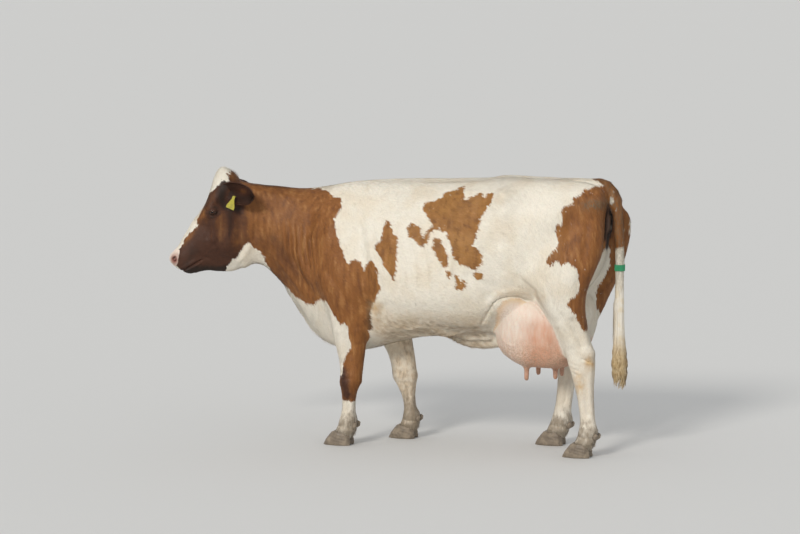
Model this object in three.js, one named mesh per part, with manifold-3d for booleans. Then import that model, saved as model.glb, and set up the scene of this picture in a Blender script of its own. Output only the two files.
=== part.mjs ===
// A life-size dairy cow, standing still with its head turned a little to its left.
// Millimetres, +Z up. The cow faces -X and its left side is -Y; the floor is z = 0.
//
// Each limb and the torso is a loft: a few named stations, joined by smooth curves. The flesh is joined
// into one solid, and thin cuts part it into head, neck, trunk and legs.
import * as THREE from "three";
import { mergeVertices } from "three/addons/utils/BufferGeometryUtils.js";
import Module from "manifold-3d";

const wasm = await Module();
wasm.setup();

// ---------------------------------------------------------------- driving dimensions
const GAP = 0.3; // left open at every parting
const CLEAR = 0.6; // how much a neighbour is grown before another piece yields to it
const HIP_HEIGHT = 1485; // top of the back over the hook bones
const WITHERS_HEIGHT = 1432;
const CHEST_FLOOR = 488; // lowest point of the chest, between the forelegs
const BARREL_HALF = 352; // half the width of the belly
const HEAD_YAW = THREE.MathUtils.degToRad(21); // the head's turn to its left
const HEAD_PITCH = THREE.MathUtils.degToRad(57); // the nose line, below the level
const POLL = new THREE.Vector3(-919, -140, 1500); // top of the head, where the head's own frame starts
const HEAD_LENGTH = 612; // poll to muzzle
const EYE_RADIUS = 21;
const EAR_LENGTH = 205;
const UDDER_FLOOR = 452; // lowest point of the udder
const CLAW_HEIGHT = 74;

// ---------------------------------------------------------------- solids
function solidOf(geometry) {
  const bare = geometry.clone();
  for (const name of ["normal", "uv"]) bare.deleteAttribute(name);
  const merged = mergeVertices(bare, 1e-3);
  const mesh = { numProp: 3, vertProperties: merged.attributes.position.array };
  const triVerts = new Uint32Array(merged.index.array);
  const made = new wasm.Manifold(new wasm.Mesh({ ...mesh, triVerts }));
  if (made.volume() > 0) return made;
  for (let i = 0; i < triVerts.length; i += 3) {
    [triVerts[i + 1], triVerts[i + 2]] = [triVerts[i + 2], triVerts[i + 1]];
  }
  return new wasm.Manifold(new wasm.Mesh({ ...mesh, triVerts }));
}

function geometryOf(solid) {
  const mesh = solid.getMesh();
  const geometry = new THREE.BufferGeometry();
  geometry.setAttribute("position", new THREE.BufferAttribute(mesh.vertProperties, 3));
  geometry.setIndex(new THREE.BufferAttribute(mesh.triVerts, 1));
  geometry.computeVertexNormals();
  return geometry;
}

const join = (solids) => solids.reduce((whole, solid) => whole.add(solid));

// A box from its lowest to its highest corner, turned about a point of its own if asked.
function block(low, high, { turn = [0, 0, 0], about = [0, 0, 0], grow = 0 } = {}) {
  const size = high.map((value, i) => value - low[i] + 2 * grow);
  const middle = high.map((value, i) => (value + low[i]) / 2 - about[i]);
  const geometry = new THREE.BoxGeometry(...size).translate(...middle);
  geometry.applyMatrix4(new THREE.Matrix4().makeRotationFromEuler(new THREE.Euler(...turn, "ZYX")));
  return solidOf(geometry.translate(...about));
}

// ---------------------------------------------------------------- lofts
// A smooth curve through evenly spaced values, which never swings past them.
function curveThrough(values) {
  const last = values.length - 1;
  const rise = (i) => values[i + 1] - values[i];
  const slopes = values.map((_, i) => {
    if (i === 0) return rise(0);
    if (i === last) return rise(last - 1);
    const [before, after] = [rise(i - 1), rise(i)];
    return before * after <= 0 ? 0 : (2 * before * after) / (before + after);
  });
  return (at) => {
    const i = Math.min(Math.floor(at), last - 1);
    const t = at - i;
    const [t2, t3] = [t * t, t * t * t];
    return (
      (2 * t3 - 3 * t2 + 1) * values[i] +
      (t3 - 2 * t2 + t) * slopes[i] +
      (3 * t2 - 2 * t3) * values[i + 1] +
      (t3 - t2) * slopes[i + 1]
    );
  };
}

// Stations are rows of numbers in the order of fields; the result gives every field at a place along them.
function stationsOf(fields, rows) {
  const curves = fields.map((_, column) => curveThrough(rows.map((row) => row[column])));
  const at = (place) => Object.fromEntries(fields.map((name, i) => [name, curves[i](place)]));
  return { at, last: rows.length - 1 };
}

// How far out a rounded box of that power lies, as shares of its two half sizes.
function superellipse(angle, power) {
  const bend = (value) => Math.sign(value) * Math.abs(value) ** (2 / power);
  return [bend(Math.cos(angle)), bend(Math.sin(angle))];
}

// A swelling or hollow: points within reach of its place move by push, most at its middle.
const swell = (at, reach, push) => ({
  at: new THREE.Vector3(...at),
  reach,
  push: new THREE.Vector3(...push),
});
const onBothSides = (swells) =>
  swells.flatMap(({ at, reach, push }) => [
    { at, reach, push },
    swell([at.x, -at.y, at.z], reach, [push.x, -push.y, push.z]),
  ]);

function sculpt(point, swells) {
  const moved = point.clone();
  for (const { at, reach, push } of swells) {
    const near = 1 - point.distanceToSquared(at) / reach ** 2;
    if (near > 0) moved.addScaledVector(push, near * near);
  }
  return moved;
}

// A closed skin over the stations. place(station, angle) gives a point of a ring, and core(station) the
// point that closes each end.
function loft({ stations, rings, around, place, core, swells = [] }) {
  const geometry = new THREE.SphereGeometry(1, around, rings);
  const { position, uv } = geometry.attributes;
  for (let i = 0; i < position.count; i += 1) {
    const share = THREE.MathUtils.clamp(1 - uv.getY(i), 0, 1);
    const station = stations.at(share * stations.last);
    const atEnd = share < 1e-6 || share > 1 - 1e-6;
    const angle = 2 * Math.PI * (Math.round(uv.getX(i) * around) / around);
    const point = atEnd ? core(station) : place(station, angle);
    position.setXYZ(i, ...sculpt(point, swells).toArray());
  }
  return solidOf(geometry);
}

// ---------------------------------------------------------------- torso and neck
// Upright sections from the rump forward. side is how far the middle leans to -Y, turn the section's
// turn about Z, and roof and keel say how square the upper and lower halves are.
const TORSO = stationsOf(
  ["x", "top", "bottom", "mid", "half", "roof", "keel", "side", "turn"],
  [
    [1230, 1330, 1230, 1290, 20, 2.0, 2.0, 0, 0],
    [1217, 1425, 1080, 1310, 120, 2.4, 2.0, 0, 0], // pin bones
    [1178, 1462, 960, 1290, 172, 2.5, 2.0, 0, 0],
    [1080, HIP_HEIGHT - 4, 850, 1240, 226, 2.6, 2.1, 0, 0], // tail head
    [940, HIP_HEIGHT - 8, 790, 1190, 262, 2.7, 2.2, 0, 0],
    [800, HIP_HEIGHT - 6, 735, 1140, 286, 3.0, 2.3, 0, 0],
    [680, HIP_HEIGHT, 655, 1090, 302, 3.1, 2.2, 0, 0], // hook bones
    [560, HIP_HEIGHT - 12, 606, 1010, 330, 2.45, 2.2, 0, 0],
    [380, HIP_HEIGHT - 16, 600, 960, BARREL_HALF, 2.1, 2.2, 0, 0],
    [170, HIP_HEIGHT - 22, 584, 955, BARREL_HALF - 4, 2.0, 2.1, 0, 0],
    [-30, WITHERS_HEIGHT + 16, 526, 970, 308, 1.85, 1.9, 0, 0],
    [-180, WITHERS_HEIGHT + 4, CHEST_FLOOR, 990, 262, 1.8, 1.8, 0, 0], // girth
    [-320, WITHERS_HEIGHT - 17, 504, 1010, 226, 1.8, 1.7, 0, 0], // withers
    [-430, WITHERS_HEIGHT - 36, 574, 1030, 186, 1.8, 1.7, 0, 1], // brisket
    [-520, WITHERS_HEIGHT - 43, 690, 1070, 150, 1.9, 1.8, 6, 5],
    [-600, WITHERS_HEIGHT - 36, 826, 1120, 122, 2.0, 1.9, 22, 11],
    [-680, WITHERS_HEIGHT - 29, 912, 1160, 106, 2.0, 2.0, 46, 17],
    [-750, WITHERS_HEIGHT - 23, 966, 1190, 98, 2.0, 2.0, 72, 21],
    [-820, WITHERS_HEIGHT - 4, 936, 1220, 90, 2.0, 2.0, 100, 22],
    [-880, WITHERS_HEIGHT - 30, 944, 1250, 68, 2.0, 2.0, 124, 22],
    [-912, 1330, 1180, 1270, 10, 2.0, 2.0, 134, 22],
  ],
);

const TORSO_SWELLS = [
  ...onBothSides([
    swell([700, -262, 1392], 105, [0, -20, 16]), // hook bone
    swell([575, -270, 1330], 140, [0, 26, -6]), // hollow between the hook and the last rib
    swell([1205, -118, 1372], 85, [14, -18, 4]), // pin bone
    swell([985, -262, 1270], 150, [0, -12, 0]), // thurl
    swell([860, -235, 1400], 110, [0, 10, -12]), // dip between hook and pin
    swell([430, -175, 1430], 120, [0, -8, 6]), // ends of the loin's cross bones
    swell([-290, -215, 1190], 190, [0, -22, 0]), // shoulder blade
    swell([-90, -280, 1130], 150, [0, 14, 0]), // behind the shoulder
    swell([-40, -225, 690], 120, [0, 20, 4]), // behind the elbow
    swell([560, -320, 800], 150, [0, -14, 0]), // rear of the belly
  ]),
  swell([1215, 165, 1320], 110, [50, 12, 0]), // the right pin lies further back
  swell([300, 0, 1480], 330, [0, 0, -8]),
  swell([-470, 0, 560], 120, [-6, 0, -6]), // point of the brisket
];

function torso(grow = 0) {
  const middle = (s) => new THREE.Vector3(s.x, -s.side, s.mid);
  return loft({
    stations: TORSO,
    rings: 29,
    around: 20,
    swells: TORSO_SWELLS,
    core: middle,
    place: (s, angle) => {
      const upper = Math.sin(angle) > 0;
      const [out, up] = superellipse(angle, upper ? s.roof : s.keel);
      const turn = THREE.MathUtils.degToRad(s.turn);
      const reach = (s.half + grow) * out;
      const rise = (upper ? s.top - s.mid + grow : s.mid - s.bottom + grow) * up;
      return middle(s).add(new THREE.Vector3(-reach * Math.sin(turn), reach * Math.cos(turn), rise));
    },
  });
}

// The loose fold of skin under the belly, in front of the udder.
const BELLY_FOLD = { at: [515, -8, 610], half: [200, 48, 84] };
const bellyFold = (grow = 0) =>
  solidOf(
    new THREE.SphereGeometry(1, 12, 8).rotateZ(Math.PI / 2)
      .scale(...BELLY_FOLD.half.map((value) => value + grow))
      .translate(...BELLY_FOLD.at),
  );

// ---------------------------------------------------------------- head
// The head's own frame: down along the nose line from the poll, out of the forehead, and to its left.
const UP = new THREE.Vector3(0, 0, 1);
const HEADING = new THREE.Vector3(-Math.cos(HEAD_YAW), -Math.sin(HEAD_YAW), 0);
const HEAD_LEFT = new THREE.Vector3().crossVectors(UP, HEADING);
const HEAD_DOWN = HEADING.clone().applyAxisAngle(HEAD_LEFT, HEAD_PITCH);
const HEAD_OUT = UP.clone().applyAxisAngle(HEAD_LEFT, HEAD_PITCH);
const HEAD_FRAME = new THREE.Matrix4().makeBasis(HEAD_DOWN, HEAD_OUT, HEAD_LEFT).setPosition(POLL);
const inHead = (down, out, left) => new THREE.Vector3(down, out, left).applyMatrix4(HEAD_FRAME);

const HEAD = stationsOf(
  ["down", "brow", "jaw", "mid", "half", "roof", "keel"],
  [
    [-10, -15, -60, -38, 12, 2.0, 2.0],
    [6, 16, -105, -42, 60, 2.2, 2.0], // poll
    [50, 24, -160, -62, 80, 2.4, 2.0],
    [110, 10, -215, -85, 88, 2.6, 2.0], // between the ears
    [175, -8, -290, -92, 103, 2.8, 1.9],
    [235, -19, -345, -92, 108, 2.8, 1.9], // brow and eyes
    [290, -19, -366, -120, 98, 2.5, 2.0],
    [340, -15, -374, -165, 92, 2.2, 2.1], // cheeks
    [392, -17, -386, -160, 84, 2.1, 1.9],
    [440, -19, -376, -135, 75, 2.1, 1.8],
    [488, -21, -314, -112, 69, 2.2, 1.9],
    [530, -16, -236, -92, 70, 2.3, 2.1],
    [564, -10, -198, -84, 74, 2.4, 2.3], // nostrils
    [588, -16, -182, -88, 69, 2.4, 2.3],
    [604, -36, -162, -94, 52, 2.3, 2.2],
    [HEAD_LENGTH, -92, -108, -100, 8, 2.0, 2.0],
  ],
);

const headSwell = (down, out, left, reach, push) => {
  const moved = inHead(...push).sub(POLL);
  return swell(inHead(down, out, left).toArray(), reach, moved.toArray());
};
const HEAD_SWELLS = [1, -1].flatMap((hand) => [
  headSwell(212, -38, 100 * hand, 58, [0, 3, 12 * hand]), // bony rim over the eye
  headSwell(160, -95, 100 * hand, 70, [0, 0, -12 * hand]), // temple
  headSwell(330, -62, 88 * hand, 70, [0, 0, -14 * hand]), // below the eye, beside the nose
  headSwell(350, -215, 92 * hand, 110, [0, 0, 8 * hand]), // cheek muscle
  headSwell(478, -225, 58 * hand, 80, [0, 0, -10 * hand]), // behind the mouth
  headSwell(562, -52, 68 * hand, 46, [2, 4, 6 * hand]), // nostril wing
]);

function head(grow = 0) {
  return loft({
    stations: HEAD,
    rings: 22,
    around: 16,
    swells: HEAD_SWELLS,
    core: (s) => inHead(s.down, s.mid, 0),
    place: (s, angle) => {
      const upper = Math.sin(angle) > 0;
      const [side, rise] = superellipse(angle, upper ? s.roof : s.keel);
      const height = (upper ? s.brow - s.mid + grow : s.mid - s.jaw + grow) * rise;
      return inHead(s.down, s.mid + height, (s.half + grow) * side);
    },
  });
}

const EYE_PLACE = { down: 234, out: -81, left: 97 };
const eyeCentre = (hand) => inHead(EYE_PLACE.down, EYE_PLACE.out, EYE_PLACE.left * hand);
const eyeball = (hand, grow = 0) =>
  solidOf(new THREE.SphereGeometry(EYE_RADIUS + grow, 12, 8).translate(...eyeCentre(hand).toArray()));

// ---------------------------------------------------------------- ears
// A leaf with rolled edges. Each section is an arc: its back, and its hollow a skin's thickness inside.
const EAR = stationsOf(
  ["along", "half", "depth", "thick"],
  [
    [-22, 24, 22, 16],
    [0, 36, 28, 15],
    [45, 54, 31, 11],
    [95, 63, 28, 10],
    [145, 58, 20, 9],
    [180, 44, 13, 8],
    [EAR_LENGTH, 14, 4, 5],
  ],
);
const EAR_POSE = {
  base: { down: 108, out: -56, left: 80 },
  towards: { back: 0.8, side: 0.55, down: 0.16 }, // where the tip points
  opening: { back: -0.35, side: 0.8, down: 0.1 }, // where the hollow looks
};

// The nostrils, hollowed out of the muzzle.
const NOSTRIL = { down: 572, out: -44, left: 64, half: [19, 11, 16], slant: 0.5 };
function nostril(hand) {
  const shape = new THREE.SphereGeometry(1, 8, 6).scale(...NOSTRIL.half).rotateZ(NOSTRIL.slant);
  shape.translate(NOSTRIL.down, NOSTRIL.out, NOSTRIL.left * hand);
  return solidOf(shape.applyMatrix4(HEAD_FRAME));
}

function earFrame(hand) {
  const towards = ({ back, side, down }) =>
    new THREE.Vector3()
      .addScaledVector(HEADING, -back)
      .addScaledVector(HEAD_LEFT, side * hand)
      .addScaledVector(UP, -down);
  const axis = towards(EAR_POSE.towards).normalize();
  const opening = towards(EAR_POSE.opening);
  opening.addScaledVector(axis, -opening.dot(axis)).normalize();
  const across = new THREE.Vector3().crossVectors(axis, opening);
  const { down, out, left } = EAR_POSE.base;
  return { origin: inHead(down, out, left * hand), axis, opening, across };
}

function ear(hand) {
  const { origin, axis, opening, across } = earFrame(hand);
  return loft({
    stations: EAR,
    rings: 8,
    around: 12,
    core: (s) =>
      origin.clone().addScaledVector(axis, s.along).addScaledVector(opening, s.thick / 2 - s.depth),
    place: (s, angle) => {
      const turn = angle / Math.PI; // 0 to 1 over the back, 1 to 2 over the hollow
      const hollow = turn > 1;
      const sweep = Math.PI * (hollow ? 2 - turn : turn);
      const inset = hollow ? s.thick * Math.sin(sweep) : 0;
      const side = Math.cos(sweep) * s.half;
      const deep = Math.sin(sweep) * s.depth - inset;
      return origin
        .clone()
        .addScaledVector(axis, s.along)
        .addScaledVector(across, side)
        .addScaledVector(opening, -deep);
    },
  });
}

// A plastic tag: a plate with a narrow neck on a pin through the ear, and a button behind.
const TAG = {
  neck: 8, // half widths of the neck and of the plate
  width: 24,
  waist: -14, // heights from the pin: where the sides start to slant, where they end, and the lower edge
  shoulder: -54,
  foot: -68,
  thick: 2,
  swing: 0.36,
};
const TAG_PIN = { radius: 3, length: 43, proud: 1 };
const TAG_BUTTON = { radius: 11, thick: 3 };
const TAG_SPOT = { along: 86, clear: 10, drop: 20, outward: 0.6 };

function tagPlate(hand) {
  const outline = new THREE.Shape();
  outline.moveTo(-TAG.neck, 0);
  outline.absarc(0, 0, TAG.neck, Math.PI, 0, true);
  outline.lineTo(TAG.neck, TAG.waist);
  outline.lineTo(TAG.width, TAG.shoulder);
  outline.lineTo(TAG.width, TAG.foot);
  outline.lineTo(-TAG.width, TAG.foot);
  outline.lineTo(-TAG.width, TAG.shoulder);
  outline.lineTo(-TAG.neck, TAG.waist);
  const depths = { depth: TAG.thick, bevelEnabled: false, curveSegments: 3 };
  return new THREE.ExtrudeGeometry(outline, depths).rotateZ(-TAG.swing * hand);
}

// Where the pin starts, with the plate hanging upright in front of the ear's hollow.
function tagFrame(hand) {
  const { origin, axis, opening } = earFrame(hand);
  const spot = origin
    .clone()
    .addScaledVector(axis, TAG_SPOT.along)
    .addScaledVector(opening, TAG_SPOT.clear)
    .addScaledVector(UP, -TAG_SPOT.drop);
  const face = opening.clone().addScaledVector(HEAD_LEFT, TAG_SPOT.outward * hand);
  face.addScaledVector(UP, -face.dot(UP)).normalize();
  const wide = new THREE.Vector3().crossVectors(UP, face).normalize();
  return new THREE.Matrix4().makeBasis(wide, UP, face).setPosition(spot);
}

const tagPin = (grow) =>
  new THREE.CylinderGeometry(TAG_PIN.radius + grow, TAG_PIN.radius + grow, TAG_PIN.length, 8)
    .rotateX(Math.PI / 2)
    .translate(0, 0, TAG_PIN.proud - TAG_PIN.length / 2);

const tagButton = (grow) =>
  new THREE.CylinderGeometry(
    TAG_BUTTON.radius + grow,
    TAG_BUTTON.radius + grow,
    TAG_BUTTON.thick + 2 * grow,
    10,
  )
    .rotateX(Math.PI / 2)
    .translate(0, 0, TAG_PIN.proud - TAG_PIN.length);

const joinedInFrame = (geometries, frame) =>
  join(geometries.map((geometry) => solidOf(geometry.applyMatrix4(frame))));
const earTag = (hand) => joinedInFrame([tagPlate(hand), tagPin(0), tagButton(0)], tagFrame(hand));
const tagHole = (hand) => joinedInFrame([tagPin(CLEAR), tagButton(CLEAR)], tagFrame(hand));

// ---------------------------------------------------------------- legs
// Level sections from the top down: front and back along X, outer and inner across, both as distances
// from the middle plane.
const LEG_FIELDS = ["z", "front", "back", "outer", "inner"];
const FORE_LEFT = stationsOf(LEG_FIELDS, [
  [1290, -235, -130, 175, 120],
  [1230, -300, -70, 218, 90],
  [1100, -338, -30, 252, 88],
  [985, -360, -18, 268, 88],
  [880, -362, -22, 272, 88], // point of the shoulder
  [790, -335, -38, 264, 90],
  [715, -306, -46, 252, 94], // elbow
  [650, -294, -66, 240, 98],
  [590, -280, -78, 231, 101],
  [515, -260, -90, 223, 108],
  [440, -243, -101, 217, 114],
  [385, -240, -108, 222, 110],
  [340, -238, -119, 225, 108], // knee
  [298, -231, -139, 218, 115],
  [258, -228, -150, 207, 126],
  [215, -227, -152, 204, 129],
  [176, -232, -149, 208, 126],
  [136, -243, -143, 219, 116], // fetlock
  [104, -254, -144, 222, 112],
  [76, -264, -150, 222, 112], // coronet
  [50, -268, -165, 214, 120],
  [44, -222, -210, 172, 162],
]);
const FORE_RIGHT = stationsOf(LEG_FIELDS, [
  [1290, -225, -120, 175, 120],
  [1230, -290, -60, 218, 90],
  [1100, -328, -22, 250, 88],
  [985, -348, -6, 264, 88],
  [880, -344, 0, 268, 88],
  [790, -306, 6, 262, 90],
  [715, -258, 26, 250, 94],
  [650, -208, 42, 240, 98],
  [590, -160, 60, 231, 101],
  [515, -104, 78, 223, 108],
  [440, -66, 88, 218, 114],
  [385, -54, 95, 224, 110],
  [345, -46, 96, 227, 108],
  [300, -26, 92, 220, 115],
  [258, -2, 84, 208, 126],
  [215, 13, 84, 204, 129],
  [176, 20, 90, 208, 126],
  [136, 15, 107, 219, 116],
  [104, 8, 110, 222, 112],
  [76, -2, 106, 222, 112],
  [50, -6, 92, 214, 120],
  [44, 38, 50, 172, 162],
]);
const HIND_LEFT = stationsOf(LEG_FIELDS, [
  [1340, 960, 1150, 165, 105],
  [1280, 880, 1212, 214, 62],
  [1200, 815, 1243, 248, 44],
  [1110, 772, 1238, 274, 44],
  [1040, 762, 1222, 292, 50],
  [965, 782, 1192, 303, 60], // stifle
  [890, 836, 1160, 302, 70],
  [820, 890, 1148, 290, 82],
  [740, 938, 1150, 272, 96],
  [655, 980, 1165, 252, 110], // gaskin
  [600, 1004, 1184, 243, 118],
  [545, 1028, 1202, 238, 124], // hock
  [480, 1055, 1200, 236, 126],
  [415, 1073, 1196, 228, 137],
  [335, 1095, 1193, 219, 147],
  [255, 1111, 1196, 217, 150],
  [195, 1116, 1203, 221, 146],
  [148, 1110, 1214, 231, 136], // fetlock
  [110, 1098, 1210, 234, 132],
  [78, 1084, 1202, 234, 132], // coronet
  [50, 1080, 1186, 226, 140],
  [44, 1126, 1138, 188, 178],
]);
const HIND_RIGHT = stationsOf(LEG_FIELDS, [
  [1365, 970, 1246, 168, 100],
  [1300, 880, 1302, 212, 60],
  [1210, 800, 1320, 250, 44],
  [1120, 750, 1304, 276, 44],
  [1040, 728, 1280, 294, 50],
  [965, 730, 1254, 305, 60],
  [890, 756, 1220, 304, 70],
  [820, 790, 1186, 290, 82],
  [740, 818, 1146, 272, 96],
  [655, 838, 1098, 252, 110],
  [600, 856, 1066, 243, 118],
  [545, 874, 1052, 238, 124],
  [480, 888, 1034, 236, 126],
  [415, 892, 1014, 228, 137],
  [335, 890, 992, 219, 147],
  [255, 884, 976, 217, 150],
  [195, 873, 972, 221, 146],
  [148, 860, 975, 231, 136],
  [110, 845, 966, 234, 132],
  [78, 830, 956, 234, 132],
  [50, 826, 940, 226, 140],
  [44, 872, 884, 188, 178],
]);

// Between two distances, at a share from -1 to 1, with both ends pushed out by grow.
const between = (low, high, share, grow = 0) => (low + high) / 2 + ((high - low) / 2 + grow) * share;

const LEG_POWER = 2.2; // how square a leg's sections are
const leg = (stations, hand, grow = 0) =>
  loft({
    stations,
    rings: 22,
    around: 10,
    core: (s) => new THREE.Vector3(between(s.front, s.back, 0), -hand * between(s.inner, s.outer, 0), s.z),
    place: (s, angle) => {
      const [ahead, out] = superellipse(angle, LEG_POWER);
      const x = between(s.front, s.back, ahead, grow);
      const y = between(s.inner, s.outer, out, grow);
      return new THREE.Vector3(x, -hand * y, s.z);
    },
  });

const LEGS = {
  fore_left: { stations: FORE_LEFT, hand: 1, toe: -330, heel: -168, middle: 168 },
  fore_right: { stations: FORE_RIGHT, hand: -1, toe: -66, heel: 92, middle: 168 },
  hind_left: { stations: HIND_LEFT, hand: 1, toe: 1022, heel: 1180, middle: 183 },
  hind_right: { stations: HIND_RIGHT, hand: -1, toe: 770, heel: 934, middle: 183 },
};

// A claw: half of the cloven hoof, flat on the floor, narrowing and leaning back towards the coronet.
const CLAW = stationsOf(
  ["z", "toe", "heel", "outer", "inner"],
  [
    [0, 4, 4, 56, 7],
    [0, 0, 0, 60, 4],
    [30, 14, 2, 61, 4],
    [58, 36, 10, 60, 4],
    [CLAW_HEIGHT, 50, 24, 55, 5],
    [CLAW_HEIGHT + 4, 78, 60, 36, 22],
  ],
);

const CLAW_MIDDLE = 30; // from the middle of the foot to the middle of a claw
const CLAW_INNER = 3; // no part of a claw comes nearer the middle of the foot
const CLAW_HOOK = 9; // the toe curves in towards its neighbour by this,
const CLAW_TAPER = 0.3; // and narrows by this share
const CLAW_POWER = 2.3;

const claw = ({ toe, heel, middle, hand }, side) =>
  loft({
    stations: CLAW,
    rings: 5,
    around: 8,
    core: (s) => new THREE.Vector3((toe + heel) / 2, -hand * (middle + side * CLAW_MIDDLE), s.z),
    place: (s, angle) => {
      const [ahead, out] = superellipse(angle, CLAW_POWER);
      const forward = Math.max(0, -ahead);
      const x = between(toe + s.toe, heel - s.heel, ahead);
      const y = between(s.inner, s.outer, out * (1 - CLAW_TAPER * forward)) - CLAW_HOOK * forward ** 2;
      return new THREE.Vector3(x, -hand * (middle + side * Math.max(y, CLAW_INNER)), s.z);
    },
  });

const DEWCLAW = { height: 112, out: 27, half: [17, 14, 23], lean: 0.5, sunk: 4, stationsUp: 3.4 };
const dewclaw = ({ stations, middle, hand }, side) => {
  const { back } = stations.at(stations.last - DEWCLAW.stationsUp);
  return solidOf(
    new THREE.SphereGeometry(1, 6, 5)
      .scale(...DEWCLAW.half)
      .rotateY(DEWCLAW.lean)
      .translate(back - DEWCLAW.sunk, -hand * (middle + side * DEWCLAW.out), DEWCLAW.height),
  );
};

// ---------------------------------------------------------------- udder
const UDDER = stationsOf(
  ["z", "front", "back", "half"],
  [
    [905, 820, 1010, 60],
    [885, 740, 1090, 130],
    [820, 668, 1140, 196],
    [740, 618, 1156, 226],
    [660, 598, 1150, 236],
    [590, 606, 1130, 230],
    [530, 640, 1100, 212],
    [490, 694, 1062, 182],
    [466, 742, 1026, 146],
    [UDDER_FLOOR + 4, 800, 980, 90],
    [UDDER_FLOOR, 880, 900, 10],
  ],
);
const UDDER_SWELLS = [
  swell([850, 0, 440], 110, [0, 0, 16]), // cleft between the halves
  swell([600, 0, 620], 120, [14, 0, 0]),
  swell([1120, 0, 600], 140, [-24, 0, 0]),
];

const UDDER_POWER = 2.35;
const udderBody = () =>
  loft({
    stations: UDDER,
    rings: 10,
    around: 14,
    swells: UDDER_SWELLS,
    core: (s) => new THREE.Vector3(between(s.front, s.back, 0), 0, s.z),
    place: (s, angle) => {
      const [ahead, out] = superellipse(angle, UDDER_POWER);
      return new THREE.Vector3(between(s.front, s.back, ahead), s.half * out, s.z);
    },
  });

const TEAT_PROFILE = [
  [0, -80],
  [8, -79],
  [12, -72],
  [14, -40],
  [16, -8],
  [22, 12],
  [0, 14],
];
const TEATS = {
  fore: { x: 802, y: 118, top: 468 },
  hind: { x: 948, y: 66, top: 474 },
};
const teat = ({ x, y, top }, hand) => {
  const profile = TEAT_PROFILE.map(([radius, height]) => new THREE.Vector2(radius, height));
  const shape = new THREE.LatheGeometry(profile, 8).rotateX(Math.PI / 2);
  return solidOf(shape.translate(x, -hand * y, top));
};
const TEAT_CUT = UDDER_FLOOR - 3;

// ---------------------------------------------------------------- tail
const TAIL = stationsOf(
  ["x", "z", "wide", "deep"],
  [
    [1090, 1442, 30, 26],
    [1140, 1449, 42, 34],
    [1196, 1441, 40, 34],
    [1240, 1404, 35, 32],
    [1265, 1342, 31, 30],
    [1274, 1260, 29, 28],
    [1280, 1150, 28, 27],
    [1283, 1000, 27, 26],
    [1281, 850, 25, 24],
    [1281, 720, 26, 25],
    [1284, 620, 31, 29],
    [1287, 540, 40, 36],
    [1288, 460, 49, 42],
    [1289, 400, 46, 40],
    [1290, 355, 34, 28],
    [1290, 336, 6, 6],
  ],
);
const TAIL_BAND = { low: 985, high: 1018, thick: 3 };
const SWITCH_TOP = 600;
const TAIL_STEP = 0.05; // half the stretch, in stations, that the tail's direction is taken over

// The way back out of the tail, square to its length.
function tailBack(place) {
  const [before, after] = [-TAIL_STEP, TAIL_STEP].map((step) =>
    TAIL.at(THREE.MathUtils.clamp(place + step, 0, TAIL.last)),
  );
  return new THREE.Vector3(before.z - after.z, 0, after.x - before.x).normalize();
}

const tail = (grow = 0) =>
  loft({
    stations: { last: TAIL.last, at: (place) => ({ ...TAIL.at(place), back: tailBack(place) }) },
    rings: 20,
    around: 8,
    core: (s) => new THREE.Vector3(s.x, 0, s.z),
    place: (s, angle) =>
      new THREE.Vector3(s.x, (s.wide + grow) * Math.cos(angle), s.z).addScaledVector(
        s.back,
        (s.deep + grow) * Math.sin(angle),
      ),
  });

// Everything between two heights.
const FAR = 3000;
const level = (low, high) => block([-FAR, -FAR, low], [FAR, FAR, high]);

// ---------------------------------------------------------------- joining and parting
const HANDS = { left: 1, right: -1 };
const flesh = (grow = 0) =>
  join([
    torso(grow),
    bellyFold(grow),
    head(grow),
    ...Object.values(LEGS).map(({ stations, hand }) => leg(stations, hand, grow)),
  ]);

// Every block takes its piece of what is left, and the trunk is the rest.
const HEAD_REGION = {
  low: [-1600, -700, 700],
  high: [-800, 500, 1700],
  turned: { turn: [0, -0.1, HEAD_YAW], about: [-800, -95, 1200] },
};
const NECK_REGION = {
  low: [-1300, -500, 620],
  high: [-440, 500, 1650],
  turned: { turn: [0, 0.26, 0.05], about: [-440, 0, 1050] },
};
const regionOf = ({ low, high, turned }) => (grow) => block(low, high, { ...turned, grow });
const LEG_OVERLAP = 1; // how far a leg's region stands out of the leg
const LEG_CUTS = {
  fore: { lower: "shank", joint: 345, top: 690 },
  hind: { lower: "cannon", joint: 520, top: 790 },
};
const PARTINGS = [
  ["head", regionOf(HEAD_REGION)],
  ["neck", regionOf(NECK_REGION)],
  ...Object.entries(LEGS).flatMap(([name, { stations, hand }]) => {
    const { lower, joint, top } = LEG_CUTS[name.slice(0, 4)];
    const slice = (low, high) => (grow) =>
      leg(stations, hand, LEG_OVERLAP + grow).intersect(level(low - grow, high + grow));
    return [
      [`${name}_${lower}`, slice(0, joint)],
      [`${name}_leg`, slice(joint + GAP, top)],
    ];
  }),
];

function largest(solid) {
  return solid.decompose().reduce((best, piece) => (piece.volume() > best.volume() ? piece : best));
}

function partedFlesh() {
  const parts = {};
  let rest = flesh();
  for (const hand of Object.values(HANDS)) {
    rest = rest.subtract(eyeball(hand, CLEAR)).subtract(nostril(hand));
  }
  for (const [name, region] of PARTINGS) {
    parts[name] = largest(rest.intersect(region(0)));
    rest = rest.subtract(region(GAP));
  }
  parts.trunk = largest(rest);
  return parts;
}

function udderParts(grownFlesh) {
  const teats = Object.entries(TEATS).flatMap(([end, place]) =>
    Object.entries(HANDS).map(([side, hand]) => [`teat_${end}_${side}`, teat(place, hand)]),
  );
  const whole = join([udderBody(), ...teats.map(([, solid]) => solid)]).subtract(grownFlesh);
  const parts = { udder: largest(whole.intersect(level(TEAT_CUT + GAP, FAR))) };
  for (const [name, solid] of teats) parts[name] = largest(solid.intersect(level(0, TEAT_CUT)));
  return parts;
}

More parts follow.
